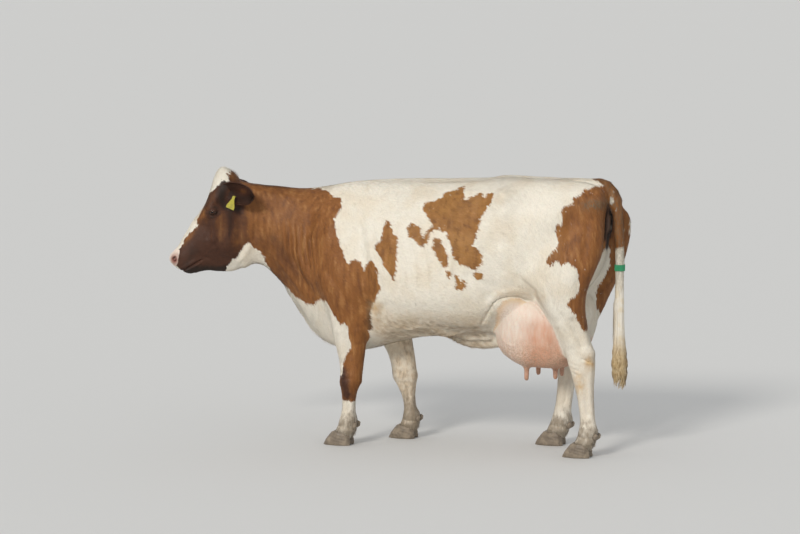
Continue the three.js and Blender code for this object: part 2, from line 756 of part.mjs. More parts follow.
function tailParts(grownFlesh) {
  const hanging = largest(tail().subtract(grownFlesh));
  const ring = tail(CLEAR + TAIL_BAND.thick).subtract(tail(CLEAR));
  return {
    tail: largest(hanging.intersect(level(SWITCH_TOP + GAP, FAR))),
    tail_switch: largest(hanging.intersect(level(0, SWITCH_TOP))),
    tail_band: largest(ring.intersect(level(TAIL_BAND.low, TAIL_BAND.high))),
  };
}

function footParts(grownFlesh) {
  const parts = {};
  for (const [name, limb] of Object.entries(LEGS)) {
    for (const [place, side] of [["outer", 1], ["inner", -1]]) {
      parts[`claw_${name}_${place}`] = largest(claw(limb, side).subtract(grownFlesh));
      parts[`dewclaw_${name}_${place}`] = largest(dewclaw(limb, side).subtract(grownFlesh));
    }
  }
  return parts;
}

function earParts(grownFlesh) {
  const parts = {};
  for (const [side, hand] of Object.entries(HANDS)) {
    parts[`ear_${side}`] = largest(ear(hand).subtract(grownFlesh).subtract(tagHole(hand)));
    parts[`ear_tag_${side}`] = earTag(hand);
    parts[`eye_${side}`] = eyeball(hand);
  }
  return parts;
}

// ---------------------------------------------------------------- the cow
const finish = (color, roughness) =>
  new THREE.MeshStandardMaterial({ color, roughness, metalness: 0 });
const FINISHES = {
  head: finish(0x5a3322, 0.8),
  neck: finish(0x8f5c38, 0.8),
  trunk: finish(0xe6ddcf, 0.8),
  leg: finish(0xe2d8c8, 0.8),
  udder: finish(0xdca690, 0.6),
  claw: finish(0x4a4036, 0.6),
  eye: finish(0x17100c, 0.1),
  tag: finish(0xc9bf3a, 0.4),
  band: finish(0x2c9c5c, 0.5),
  hair: finish(0xd8c49a, 0.8),
};
const finishOf = (name) => {
  const chosen = [
    [/^(head|ear_left|ear_right)$/, "head"],
    [/^neck$/, "neck"],
    [/claw/, "claw"],
    [/^(udder|teat)/, "udder"],
    [/^eye/, "eye"],
    [/tag/, "tag"],
    [/band/, "band"],
    [/switch/, "hair"],
    [/_(leg|shank|cannon)$/, "leg"],
  ].find(([pattern]) => pattern.test(name));
  return FINISHES[chosen ? chosen[1] : "trunk"];
};

const grownFlesh = flesh(CLEAR);
const parts = {
  ...partedFlesh(),
  ...udderParts(grownFlesh),
  ...tailParts(grownFlesh),
  ...footParts(grownFlesh),
  ...earParts(grownFlesh),
};

const cow = new THREE.Group();
for (const [name, solid] of Object.entries(parts)) {
  const mesh = new THREE.Mesh(geometryOf(solid), finishOf(name));
  mesh.name = name;
  cow.add(mesh);
}
// The origin lies under the middle of the whole animal.
const middle = new THREE.Box3().setFromObject(cow).getCenter(new THREE.Vector3());
cow.position.set(-middle.x, -middle.y, 0);

export default cow;
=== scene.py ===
"""A life-size red and white dairy cow, standing on a pale studio floor.

Metres, +Z up. The cow's own frame has its head towards -X and its left side at -Y; ORIGIN sets that
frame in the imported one. Everything is worked out in the cow's own frame and shifted when it is made.
"""

import math

import bmesh
import bpy
import numpy as np
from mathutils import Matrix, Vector
from mathutils.bvhtree import BVHTree


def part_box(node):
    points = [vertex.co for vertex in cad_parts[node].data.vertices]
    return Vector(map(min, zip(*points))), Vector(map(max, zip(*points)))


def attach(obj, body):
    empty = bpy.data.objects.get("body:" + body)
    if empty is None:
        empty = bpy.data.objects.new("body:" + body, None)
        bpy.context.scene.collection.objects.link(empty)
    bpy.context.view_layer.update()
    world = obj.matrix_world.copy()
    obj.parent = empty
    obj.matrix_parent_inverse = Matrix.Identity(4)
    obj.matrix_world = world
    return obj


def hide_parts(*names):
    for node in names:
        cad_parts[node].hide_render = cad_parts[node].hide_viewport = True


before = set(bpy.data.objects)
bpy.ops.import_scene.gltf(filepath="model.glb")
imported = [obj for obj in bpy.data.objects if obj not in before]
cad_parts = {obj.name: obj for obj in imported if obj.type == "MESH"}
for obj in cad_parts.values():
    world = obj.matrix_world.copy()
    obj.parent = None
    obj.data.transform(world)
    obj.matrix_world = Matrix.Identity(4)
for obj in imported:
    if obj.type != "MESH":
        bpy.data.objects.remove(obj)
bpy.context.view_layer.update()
RANDOM = np.random.default_rng(7)

# ---------------------------------------------------------------- the cow's own frame
BAND_X = 1.2827  # middle of the tail band
band_low, band_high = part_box("tail_band")
ORIGIN = np.array(((band_low.x + band_high.x) / 2 - BAND_X, 0.0, 0.0))

UP = np.array((0.0, 0.0, 1.0))
HEAD_YAW = math.radians(21)
HEAD_PITCH = math.radians(57)
POLL = np.array((-0.919, -0.140, 1.500))
HEADING = np.array((-math.cos(HEAD_YAW), -math.sin(HEAD_YAW), 0.0))
HEAD_DOWN = HEADING * math.cos(HEAD_PITCH) - UP * math.sin(HEAD_PITCH)
HEAD_OUT = HEADING * math.sin(HEAD_PITCH) + UP * math.cos(HEAD_PITCH)
HEAD_LEFT = np.cross(UP, HEADING)
HEAD_AXES = np.stack((HEAD_DOWN, HEAD_OUT, HEAD_LEFT))
SIDES = {"left": -1, "right": 1}  # the sign of y
LEG_NODES = {
    "fore_left": ("fore_left_leg", "fore_left_shank"),
    "fore_right": ("fore_right_leg", "fore_right_shank"),
    "hind_left": ("hind_left_leg", "hind_left_cannon"),
    "hind_right": ("hind_right_leg", "hind_right_cannon"),
}


def unit(vectors):
    """Vectors of length one, along the last axis."""
    vectors = np.asarray(vectors, float)
    return vectors / np.maximum(np.linalg.norm(vectors, axis=-1, keepdims=True), 1e-12)


def smooth_step(low, high, values):
    share = np.clip((np.asarray(values, float) - low) / (high - low), 0, 1)
    return share * share * (3 - 2 * share)


def in_head(points):
    """The head's own frame: down the face from the poll, out of the forehead, and to its left."""
    return (points - POLL) @ HEAD_AXES.T


def from_head(down, out, left):
    return POLL + down * HEAD_DOWN + out * HEAD_OUT + left * HEAD_LEFT


def through(points, steps=8):
    """A smooth curve through the points, as a row of points."""
    points = np.asarray(points, float)
    ends = np.concatenate((2 * points[:1] - points[1:2], points, 2 * points[-1:] - points[-2:-1]))
    share = np.linspace(0, 1, steps, endpoint=False)[:, None]
    rows = []
    for a, b, c, d in zip(ends, ends[1:], ends[2:], ends[3:]):
        bend = 2 * a - 5 * b + 4 * c - d
        twist = 3 * b - a - 3 * c + d
        rows.append(b + 0.5 * share * (c - a + share * (bend + share * twist)))
    return np.concatenate(rows + [points[-1:]])


# ---------------------------------------------------------------- meshes as arrays
def taken(items, field, width, kind):
    """One field of every item, as rows of the given width."""
    values = np.empty(len(items) * width, kind)
    items.foreach_get(field, values)
    return values.reshape(-1, width)


def points_of(mesh):
    return taken(mesh.vertices, "co", 3, np.float32).astype(float)


def edges_of(mesh):
    return taken(mesh.edges, "vertices", 2, np.int32)


def triangles_of(mesh):
    mesh.calc_loop_triangles()
    return taken(mesh.loop_triangles, "vertices", 3, np.int32)


def set_points(mesh, points):
    mesh.vertices.foreach_set("co", np.asarray(points, np.float32).ravel())
    mesh.update()


def normals_at(points, triangles):
    """The direction that faces out at each point."""
    a, b, c = (points[triangles[:, i]] for i in range(3))
    face = np.cross(b - a, c - a)
    total = np.zeros_like(points)
    for column in range(3):
        for axis in range(3):
            total[:, axis] += np.bincount(triangles[:, column], face[:, axis], len(points))
    return unit(total)


class Net:
    """Each point's neighbours along the edges."""

    def __init__(self, edges, count):
        self.ends = np.concatenate((edges[:, 0], edges[:, 1]))
        self.others = np.concatenate((edges[:, 1], edges[:, 0]))
        self.count = count
        self.degree = np.maximum(np.bincount(self.ends, minlength=count), 1)

    def mean(self, values):
        if values.ndim == 1:
            return np.bincount(self.ends, values[self.others], self.count) / self.degree
        return np.stack([self.mean(column) for column in values.T], axis=1)

    def spread(self, values, times, share=1.0):
        for _ in range(times):
            values = values + share * (self.mean(values) - values)
        return values


def new_object(name, data):
    piece = bpy.data.objects.new(name, data)
    bpy.context.scene.collection.objects.link(piece)
    return piece


def set_values(mesh, name, values):
    """Stores a number, or three, at each point of the mesh."""
    values = np.asarray(values, np.float32)
    kind, field = ("FLOAT", "value") if values.ndim == 1 else ("FLOAT_VECTOR", "vector")
    mesh.attributes.new(name, kind, "POINT").data.foreach_set(field, values.ravel())


def mesh_of(name, points, faces):
    """A mesh whose faces all have the same number of corners."""
    count, corners = faces.shape
    mesh = bpy.data.meshes.new(name)
    mesh.vertices.add(len(points))
    set_points(mesh, points)
    mesh.loops.add(count * corners)
    mesh.loops.foreach_set("vertex_index", np.asarray(faces, np.int32).ravel())
    mesh.polygons.add(count)
    mesh.polygons.foreach_set("loop_start", np.arange(0, count * corners, corners, dtype=np.int32))
    mesh.update(calc_edges=True)
    return mesh


def shade_smooth(mesh):
    mesh.polygons.foreach_set("use_smooth", np.ones(len(mesh.polygons), bool))
    mesh.update()


def modified_mesh(piece):
    """The piece's mesh with its modifiers worked in; the piece itself is removed."""
    evaluated = piece.evaluated_get(bpy.context.evaluated_depsgraph_get())
    mesh = bpy.data.meshes.new_from_object(evaluated)
    bpy.data.objects.remove(piece)
    return mesh


def cast(piece, voxel):
    """The piece as one closed mesh of even squares."""
    remesh = piece.modifiers.new("cast", "REMESH")
    remesh.mode = "VOXEL"
    remesh.voxel_size = voxel
    return modified_mesh(piece)


# ---------------------------------------------------------------- flesh, cast as one body
VOXEL = 0.007
CLOSING = 0.0004  # closes the cuts between the flesh nodes
EYES = ("eye_left", "eye_right")
FLESH = ("head", "neck", "trunk", "udder", "tail", "teat_fore_left", "teat_fore_right",
         "teat_hind_left", "teat_hind_right") + tuple(n for pair in LEG_NODES.values() for n in pair)
# How far each node's facets are smoothed away.
SOFTNESS = {"trunk": 0.046, "neck": 0.040, "head": 0.012, "udder": 0.022, "tail": 0.009,
            "teat": 0.004, "eye": 0.005, "leg": 0.024, "shank": 0.009, "cannon": 0.009}
COAT_DEPTH = {"trunk": 0.0050, "neck": 0.0050, "head": 0.0030, "udder": 0.0006, "tail": 0.0030,
              "teat": 0.0, "eye": 0.0, "leg": 0.0045, "shank": 0.0028, "cannon": 0.0028}


def kind_of(node):
    return next(kind for kind in ("teat", "eye", "leg", "shank", "cannon", node) if kind in node)


def flesh_block():
    """The flesh nodes and the eyes in one mesh, grown to close their cuts, and each face's node."""
    shell = bmesh.new()
    owners = []
    for name in FLESH + EYES:
        shell.from_mesh(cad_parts[name].data)
        owners += [name] * (len(shell.faces) - len(owners))
    bmesh.ops.remove_doubles(shell, verts=shell.verts, dist=1e-5)
    shell.normal_update()
    for vertex in shell.verts:
        vertex.co += vertex.normal * CLOSING - Vector(ORIGIN)
    mesh = bpy.data.meshes.new("flesh_block")
    shell.to_mesh(mesh)
    shell.free()
    return mesh, owners


def keep_largest(mesh):
    """Removes the loose shells that a cast leaves inside."""
    edges = edges_of(mesh)
    label = np.arange(len(mesh.vertices))
    while True:
        low = np.minimum(label[edges[:, 0]], label[edges[:, 1]])
        new = label.copy()
        np.minimum.at(new, edges[:, 0], low)
        np.minimum.at(new, edges[:, 1], low)
        new = new[new]
        if (new == label).all():
            break
        label = new
    main = np.bincount(label).argmax()
    if (label == main).all():
        return
    shell = bmesh.new()
    shell.from_mesh(mesh)
    shell.verts.ensure_lookup_table()
    bmesh.ops.delete(shell, geom=[shell.verts[i] for i in np.flatnonzero(label != main)], context="VERTS")
    shell.to_mesh(mesh)
    shell.free()


def nearest_nodes(points, block, owners):
    """The index in NODE_NAMES of the node nearest each point."""
    tree = BVHTree.FromPolygons([v.co for v in block.vertices], [p.vertices for p in block.polygons])
    index = np.array([NODE_NAMES.index(name) for name in owners])
    return index[[tree.find_nearest(point)[2] for point in points.tolist()]]


NODE_NAMES = list(FLESH + EYES)


def on(node, *names):
    """Whether each point's node is one of the named ones."""
    return np.isin(node, [NODE_NAMES.index(name) for name in names])


def by_node(table, node):
    """A number from the table for each point, by its node."""
    return np.array([table[kind_of(name)] for name in NODE_NAMES])[node]


def soften(points, net, reach, spacing):
    """Smooths over the given reach and puts back the form that plain smoothing takes away."""
    times = max(1, int(np.ceil(2 * (reach.max() / spacing) ** 2)))
    share = ((reach / spacing) ** 2 * 2 / times)[:, None]

    def smoothed(values):
        for _ in range(times):
            values = values + share * (net.mean(values) - values)
        return values

    once = smoothed(points)
    return once + smoothed(points - once)


# ---------------------------------------------------------------- modelling the skin
def split_edges(shell, chosen):
    """Halves every edge of the chosen faces."""
    edges = {edge for face in chosen for edge in face.edges}
    bmesh.ops.subdivide_edges(shell, edges=list(edges), cuts=1, use_grid_fill=True)


def refine(mesh, tests):
    """Finer faces where each test, given the face middles, says so; one halving for each test."""
    shell = bmesh.new()
    shell.from_mesh(mesh)
    for test in tests:
        middles = np.array([face.calc_center_median()[:] for face in shell.faces])
        wanted = test(middles)
        shell.faces.ensure_lookup_table()
        split_edges(shell, [shell.faces[i] for i in np.flatnonzero(wanted)])
    bmesh.ops.triangulate(shell, faces=[face for face in shell.faces if len(face.verts) > 4])
    shell.to_mesh(mesh)
    shell.free()


class Plane:
    """Where strokes are drawn: two axes from an origin, and the way that its surface faces."""

    def __init__(self, origin, across, along, facing):
        self.origin = np.asarray(origin, float)
        self.axes = np.stack((unit(across), unit(along)))
        self.facing = unit(facing)

    def flat(self, points):
        return (points - self.origin) @ self.axes.T


X_AXIS, Y_AXIS, Z_AXIS = np.eye(3)
FLANK = {name: Plane((0, 0, 0), X_AXIS, Z_AXIS, sign * Y_AXIS) for name, sign in SIDES.items()}
FRONT_PLANE = Plane((0, 0, 0), Y_AXIS, Z_AXIS, -X_AXIS)
REAR_PLANE = Plane((0, 0, 0), Y_AXIS, Z_AXIS, X_AXIS)
TOP_PLANE = Plane((0, 0, 0), X_AXIS, Y_AXIS, Z_AXIS)
UNDER_PLANE = Plane((0, 0, 0), X_AXIS, Y_AXIS, -Z_AXIS)
CHEEK = {name: Plane(POLL, HEAD_DOWN, HEAD_OUT, -sign * HEAD_LEFT) for name, sign in SIDES.items()}
FACE_PLANE = Plane(POLL, HEAD_DOWN, HEAD_LEFT, HEAD_OUT)
NOSE_PLANE = Plane(POLL, HEAD_LEFT, HEAD_OUT, HEAD_DOWN)


STROKE_REACH = 3.2  # how many widths from its path a stroke is worked out
SWELL_REACH = 2.2


class Clay:
    """The skin while it is modelled. Strokes and swells move its points along their normals."""

    def __init__(self, points, triangles):
        self.points = points.copy()
        self.triangles = triangles
        self.normals = normals_at(points, triangles)

    def turned(self):
        """Takes the normals again, after larger changes."""
        self.normals = normals_at(self.points, self.triangles)

    def near(self, plane, low, high, only):
        """The points over a box of the plane that face its way, their places in it and their weights."""
        flat = plane.flat(self.points)
        faces = smooth_step(0.05, 0.45, self.normals @ plane.facing)
        inside = ((flat > low) & (flat < high)).all(axis=1) & (faces > 0)
        if only is not None:
            inside &= only > 0
            faces = faces * only
        chosen = np.flatnonzero(inside)
        return chosen, flat[chosen], faces[chosen]

    def push(self, chosen, amounts):
        self.points[chosen] += self.normals[chosen] * amounts[:, None]

    def stroke(self, plane, path, width, height, only=None, fade=0.2, fold=0.0):
        """A ridge, or a groove where height is negative, along a smooth path. It fades over that share
        of the path at each end; fold adds a rounded lip on the path's left."""
        line = through(path)
        reach = width * STROKE_REACH
        chosen, flat, weight = self.near(plane, line.min(0) - reach, line.max(0) + reach, only)
        if not len(chosen):
            return
        start, step = line[:-1], np.diff(line, axis=0)
        length = np.linalg.norm(step, axis=1)
        gone = np.concatenate(([0], np.cumsum(length)[:-1]))
        away = flat[:, None] - start[None]
        share = np.clip((away * step).sum(2) / np.maximum(length, 1e-9) ** 2, 0, 1)
        offset = away - share[..., None] * step
        distance = np.linalg.norm(offset, axis=2)
        best = distance.argmin(axis=1)
        row = np.arange(len(chosen))
        near, along = distance[row, best], (gone[best] + share[row, best] * length[best]) / length.sum()
        offset, step = offset[row, best], step[best]
        signed = near * np.sign(step[:, 0] * offset[:, 1] - step[:, 1] * offset[:, 0])
        taper = smooth_step(0, fade, along) * smooth_step(0, fade, 1 - along) if fade else 1.0
        profile = height * np.exp(-((near / width) ** 2))
        profile += fold * np.exp(-(((signed - 1.7 * width) / width) ** 2))
        self.push(chosen, profile * taper * weight)

    def swell(self, plane, place, reach, height, only=None):
        """A smooth swelling, or a hollow, over an ellipse of the plane."""
        place, reach = np.asarray(place, float), np.broadcast_to(np.asarray(reach, float), 2)
        wide = reach.max() * SWELL_REACH
        chosen, flat, weight = self.near(plane, place - wide, place + wide, only)
        offset = flat - place
        self.push(chosen, height * np.exp(-((offset / reach) ** 2).sum(axis=1)) * weight)

    def marks(self, plane, rows, only=None):
        """Strokes and swells, one after the other. A list is a stroke's path and a tuple a swell's place;
        the width or reach and the height come next, then a stroke's fade and fold where it has its own."""
        for where, size, height, *ends in rows:
            if isinstance(where, list):
                self.stroke(plane, where, size, height, only, *ends)
            else:
                self.swell(plane, where, size, height, only)

    def relax(self, net, mask, rounds):
        """Smooths the points under the mask."""
        self.points += mask[:, None] * (net.spread(self.points, rounds, 0.5) - self.points)
        self.turned()

    def ball(self, place, reach, height, only=None):
        """A swelling round a point in space, whichever way its surface faces."""
        distance = np.linalg.norm(self.points - place, axis=1)
        chosen = np.flatnonzero(distance < reach * SWELL_REACH)
        amount = height * np.exp(-((distance[chosen] / reach) ** 2))
        self.push(chosen, amount if only is None else amount * only[chosen])


# ---------------------------------------------------------------- the skin
def head_fine(middles):
    down, out, left = in_head(middles).T
    on_head = (down > -0.03) & (out > -0.42) & (np.abs(left) < 0.15)
    behind = (down < 0.20) & (out < -0.16)
    below = (down < 0.42) & (out < -0.36)
    return on_head & ~behind & ~below


def near_places(middles, places, reach):
    return (np.linalg.norm(middles[:, None] - np.asarray(places)[None], axis=2) < reach).any(axis=1)


EYE_RADIUS = 0.021
EYE_CENTRES = [from_head(0.234, -0.081, 0.097 * hand) for hand in (1, -1)]
NOSTRIL_CENTRES = [from_head(0.572, -0.044, 0.060 * hand) for hand in (1, -1)]
TEAT_PLACES = [(x, sign * y, 0.43) for x, y in ((0.802, 0.118), (0.948, 0.066)) for sign in SIDES.values()]


def face_finest(middles):
    down = in_head(middles)[:, 0]
    lips = (down > 0.50) & (down < 0.62)
    return near_places(middles, EYE_CENTRES, 0.052) | near_places(middles, NOSTRIL_CENTRES, 0.045) | lips


def first_halving(middles):
    x, y, z = middles.T
    vulva = (x > 1.17) & (np.abs(y) < 0.05) & (z > 1.12) & (z < 1.38)
    return head_fine(middles) | near_places(middles, TEAT_PLACES, 0.06) | vulva


def lids_finest(middles):
    return near_places(middles, EYE_CENTRES, 0.036)


def bare_skin():
    """The cast and softened flesh, moved in by the depth of the coat."""
    block, owners = flesh_block()
    mesh = cast(new_object("cast", block.copy()), VOXEL)
    keep_largest(mesh)
    points = points_of(mesh)
    node = nearest_nodes(points, block, owners)
    net = Net(edges_of(mesh), len(points))
    reach = net.spread(by_node(SOFTNESS, node), 30)
    points = soften(points, net, reach, VOXEL)
    depth = net.spread(by_node(COAT_DEPTH, node), 12)
    points -= normals_at(points, triangles_of(mesh)) * depth[:, None]
    set_points(mesh, points)
    refine(mesh, (first_halving, face_finest, lids_finest))
    points = points_of(mesh)
    node = nearest_nodes(points, block, owners)
    net = Net(edges_of(mesh), len(points))
    fine = near_places(points, [from_head(0.3, -0.15, 0)], 0.5)[:, None]
    points = points + fine * (net.spread(points, 3, 0.5) - points)
    set_points(mesh, points)
    return mesh, node


# ---------------------------------------------------------------- muscles, bones and folds
class LegLine:
    """The front and the back of a leg at any height."""

    def __init__(self, points, mine):
        self.heights = np.arange(0.08, 1.0, 0.02)
        own = points[mine]
        rows = [own[np.abs(own[:, 2] - height) < 0.012, 0] for height in self.heights]
        self.front = np.array([row.min() if len(row) else np.nan for row in rows])
        self.back = np.array([row.max() if len(row) else np.nan for row in rows])
        known = ~np.isnan(self.front)
        self.heights, self.front, self.back = self.heights[known], self.front[known], self.back[known]

    def at(self, share, height):
        front, back = (np.interp(height, self.heights, side) for side in (self.front, self.back))
        return front + share * (back - front)

    def placed(self, rows):
        """Rows for Clay.marks that are given by a share from front to back in place of X."""
        def place(spot):
            return self.at(*spot), spot[1]

        return [([place(spot) for spot in where] if isinstance(where, list) else place(where), *more)
                for where, *more in rows]


def model_neck(clay):
    for side, plane in FLANK.items():
        lean = 0.05 if side == "right" else 0.0
        for i in range(7):
            x = -0.615 + 0.034 * i
            path = [(x, 1.27 - 0.012 * i), (x + 0.018, 1.16), (x + 0.030, 1.05),
                    (x + 0.062, 0.94 - 0.008 * i)]
            clay.stroke(plane, path, 0.0085, 0.0036 + 0.0012 * (i % 2), fold=-0.0016, fade=0.35)
        for x, low in ((-0.70, 1.04), (-0.665, 1.02)):
            clay.stroke(plane, [(x, 1.24), (x + 0.01, 1.13), (x + 0.03, low)], 0.010, 0.0022, fade=0.4)
        # the groove before the shoulder, with the neck's cord of muscle beside it
        clay.marks(plane, [
            ([(-0.545 + lean, 1.08), (-0.507, 0.985), (-0.462, 0.915), (-0.418, 0.848), (-0.375, 0.785)],
             0.022, -0.010, 0.3, 0.005),
            ([(-0.66, 1.06), (-0.59, 0.965), (-0.52, 0.885), (-0.45, 0.80)], 0.022, 0.008, 0.3),
            ([(-0.505, 1.03), (-0.455, 0.93), (-0.41, 0.855)], 0.010, 0.005, 0.3),
            ([(-0.80, 1.07), (-0.745, 1.12), (-0.72, 1.22)], 0.022, -0.006, 0.3),
            ([(-0.83, 1.40), (-0.70, 1.37), (-0.56, 1.35)], 0.028, 0.006, 0.3),
            ([(-0.80, 1.33), (-0.66, 1.27), (-0.54, 1.27)], 0.040, -0.006, 0.3)])
    # the folds beside the dewlap
    for sign in (1, -1):
        fold = [(sign * 0.034, 0.84), (sign * 0.044, 0.70), (sign * 0.052, 0.56)]
        clay.stroke(FRONT_PLANE, fold, 0.020, -0.005, fade=0.4)
    clay.stroke(FRONT_PLANE, [(-0.02, 0.86), (0.0, 0.70), (0.0, 0.56)], 0.020, 0.010)


def model_shoulder(clay):
    for plane in FLANK.values():
        clay.marks(plane, [
            ([(-0.25, 1.33), (-0.30, 1.17), (-0.345, 1.00)], 0.026, 0.006),
            ([(-0.42, 1.31), (-0.425, 1.16), (-0.42, 1.02), (-0.40, 0.90)], 0.034, -0.008),
            ([(-0.15, 1.33), (-0.11, 1.19), (-0.065, 1.02), (-0.055, 0.86)], 0.036, -0.009),
            ((-0.175, 0.885), (0.10, 0.14), 0.009),
            ((-0.335, 0.905), (0.052, 0.062), 0.011),
            ([(-0.30, 0.99), (-0.24, 0.90), (-0.17, 0.80), (-0.12, 0.74)], 0.020, -0.005),
            ((-0.060, 0.722), (0.032, 0.040), 0.011)])
        # loose skin behind the elbow
        elbow = [(0.110, 0.800), (0.050, 0.808), (0.008, 0.775), (-0.012, 0.710), (-0.030, 0.630)]
        clay.marks(plane, [
            (elbow, 0.021, 0.0036, 0.5),
            ([(x + 0.034, z - 0.006) for x, z in elbow], 0.020, -0.0036, 0.5)])


def model_barrel(clay):
    for plane in FLANK.values():
        for i in range(8):
            x = -0.06 + 0.066 * i
            rib = [(x - 0.045, 1.30), (x + 0.005, 1.16), (x + 0.045, 1.00), (x + 0.050, 0.84)]
            clay.stroke(plane, rib, 0.015, 0.0024, fade=0.3)
        clay.marks(plane, [
            ([(0.35, 1.405), (0.42, 1.27), (0.455, 1.08), (0.40, 0.90)], 0.022, 0.005, 0.3),
            ([(0.36, 1.408), (0.52, 1.400), (0.66, 1.398)], 0.020, 0.006),
            ((0.535, 1.285), (0.085, 0.100), -0.015),
            ((0.30, 0.83), (0.25, 0.10), 0.006),
            # creases over the flank
            ([(0.60, 1.13), (0.66, 1.04), (0.74, 0.97)], 0.016, -0.004),
            ([(0.50, 0.99), (0.60, 0.93), (0.70, 0.905)], 0.020, -0.004)])


def model_belly(clay):
    vein = {
        "left": [(0.29, 0.662), (0.335, 0.632), (0.40, 0.615), (0.46, 0.600), (0.53, 0.607), (0.60, 0.600)],
        "right": [(0.26, 0.660), (0.34, 0.640), (0.42, 0.622), (0.50, 0.612), (0.58, 0.606)],
    }
    for side, plane in FLANK.items():
        clay.marks(plane, [
            (vein[side], 0.014, 0.014, 0.12, -0.005),
            ([(0.04, 0.645), (0.10, 0.662), (0.16, 0.650), (0.22, 0.668), (0.29, 0.660)], 0.009, 0.004, 0.3),
            ([(0.33, 0.70), (0.42, 0.66), (0.52, 0.655), (0.60, 0.68)], 0.018, -0.008)])
    for sign in (1, -1):
        wave = [(0.05, 0.12), (0.14, 0.135), (0.22, 0.12), (0.31, 0.14), (0.40, 0.125), (0.50, 0.15)]
        clay.stroke(UNDER_PLANE, [(x, sign * y) for x, y in wave], 0.010, 0.006)
    clay.stroke(UNDER_PLANE, [(-0.30, 0.0), (-0.10, 0.0), (0.10, 0.0)], 0.030, -0.004)


def model_rump(clay, off_tail):
    hind = {"left": 0.0, "right": 0.05}
    for side, plane in FLANK.items():
        back = hind[side]
        clay.swell(plane, (0.700, 1.392), (0.046, 0.030), 0.013)
        clay.swell(TOP_PLANE, (0.700, SIDES[side] * 0.255), (0.045, 0.040), 0.010)
        clay.marks(plane, [
            ([(0.70, 1.37), (0.735, 1.24), (0.79, 1.10), (0.84, 0.99)], 0.028, 0.007),
            ([(0.62, 1.36), (0.66, 1.22), (0.71, 1.10)], 0.036, -0.007),
            ((0.855, 1.335), (0.085, 0.060), -0.010),
            ((0.985, 1.270), (0.055, 0.055), 0.009),
            ((1.200 + back, 1.365), (0.034, 0.034), 0.010),
            ([(1.06, 1.33), (1.065, 1.20), (1.05, 1.05), (1.04, 0.93)], 0.024, -0.006),
            ([(1.15 + back, 1.31), (1.155, 1.15), (1.13, 0.98), (1.11, 0.85)], 0.018, -0.005),
            ((0.93, 1.10), (0.12, 0.12), 0.006),
            ((0.835, 0.965), (0.050, 0.060), 0.009),
            ([(0.90, 1.01), (0.95, 0.93), (0.99, 0.84), (1.02, 0.75)], 0.018, -0.005),
            # the fold of the flank, over the udder
            ([(0.775, 1.00), (0.806, 0.948), (0.860, 0.900), (0.905, 0.855)], 0.017, -0.007, 0.3),
            ([(0.60, 0.775), (0.66, 0.852), (0.71, 0.878), (0.765, 0.888), (0.82, 0.868), (0.88, 0.825)],
             0.015, 0.0045, 0.2),
            ([(0.56, 0.68), (0.60, 0.735), (0.655, 0.818), (0.700, 0.843), (0.745, 0.850), (0.790, 0.842),
              (0.845, 0.805)], 0.0075, -0.010, 0.12),
            ([(0.800, 0.842), (0.868, 0.812), (0.912, 0.770), (0.950, 0.710), (0.980, 0.645), (1.010, 0.565)],
             0.008, -0.011, 0.12)])
        beside = [(x, SIDES[side] * y) for x, y in ((1.02, 0.058), (1.11, 0.062), (1.19, 0.060))]
        clay.stroke(TOP_PLANE, beside, 0.020, -0.010)
    clay.marks(TOP_PLANE, [
        ([(-0.40, 0.0), (-0.10, 0.0), (0.30, 0.0), (0.60, 0.0)], 0.022, 0.004),
        ([(0.55, 0.0), (0.75, 0.0), (0.98, 0.0)], 0.016, 0.005)])
    for sign in (1, -1):
        beside = [(0.15, sign * 0.055), (0.40, sign * 0.060), (0.60, sign * 0.062)]
        clay.stroke(TOP_PLANE, beside, 0.026, -0.003)
        # vulva
        clay.marks(REAR_PLANE, [
            ([(sign * 0.010, 1.300), (sign * 0.019, 1.255), (sign * 0.018, 1.215), (sign * 0.004, 1.168)],
             0.012, 0.016),
            ([(sign * 0.050, 1.32), (sign * 0.052, 1.22), (sign * 0.050, 1.10)], 0.016, -0.010)], off_tail)
    clay.marks(REAR_PLANE, [
        ([(0.0, 1.298), (0.0, 1.24), (0.0, 1.185)], 0.0045, -0.014),
        ((0.0, 1.350), (0.020, 0.018), 0.006),
        ((0.0, 1.350), (0.006, 0.006), -0.010)], off_tail)


# The skin of the udder's dome, under the fold of the flank, along X and Z.
UDDER_DOME = [(0.585, 0.600), (0.640, 0.700), (0.664, 0.775), (0.697, 0.826), (0.742, 0.847), (0.785, 0.845),
              (0.826, 0.820), (0.902, 0.780), (1.200, 0.600), (1.200, 0.400), (0.600, 0.400)]


def inside_by(flat, outline):
    """How far inside a closed outline each place is; negative outside."""
    outline = np.asarray(outline, float)
    nearest = np.full(len(flat), np.inf)
    inside = np.zeros(len(flat), bool)
    for start, end in zip(outline, np.roll(outline, -1, axis=0)):
        step, away = end - start, flat - start
        share = np.clip(away @ step / (step @ step), 0, 1)
        nearest = np.minimum(nearest, np.linalg.norm(away - share[:, None] * step, axis=1))
        if step[1]:
            level = (start[1] > flat[:, 1]) != (end[1] > flat[:, 1])
            inside ^= level & (flat[:, 0] < start[0] + step[0] * away[:, 1] / step[1])
    return np.where(inside, nearest, -nearest)


# Veins and folds on each side of the udder, and lumps under its skin, along X and Z.
UDDER_VEINS = [
    [(0.70, 0.77), (0.725, 0.70), (0.715, 0.63), (0.745, 0.56)],
    [(0.78, 0.80), (0.79, 0.72), (0.815, 0.66), (0.805, 0.58)],
    [(0.93, 0.76), (0.925, 0.69), (0.95, 0.62), (0.94, 0.55)],
    [(0.66, 0.66), (0.69, 0.61), (0.74, 0.585), (0.80, 0.595)],
    [(1.02, 0.72), (1.01, 0.64), (1.03, 0.57)]]
UDDER_LUMPS = [(0.835, 0.60), (0.86, 0.565), (0.80, 0.625), (0.895, 0.585), (0.77, 0.70)]


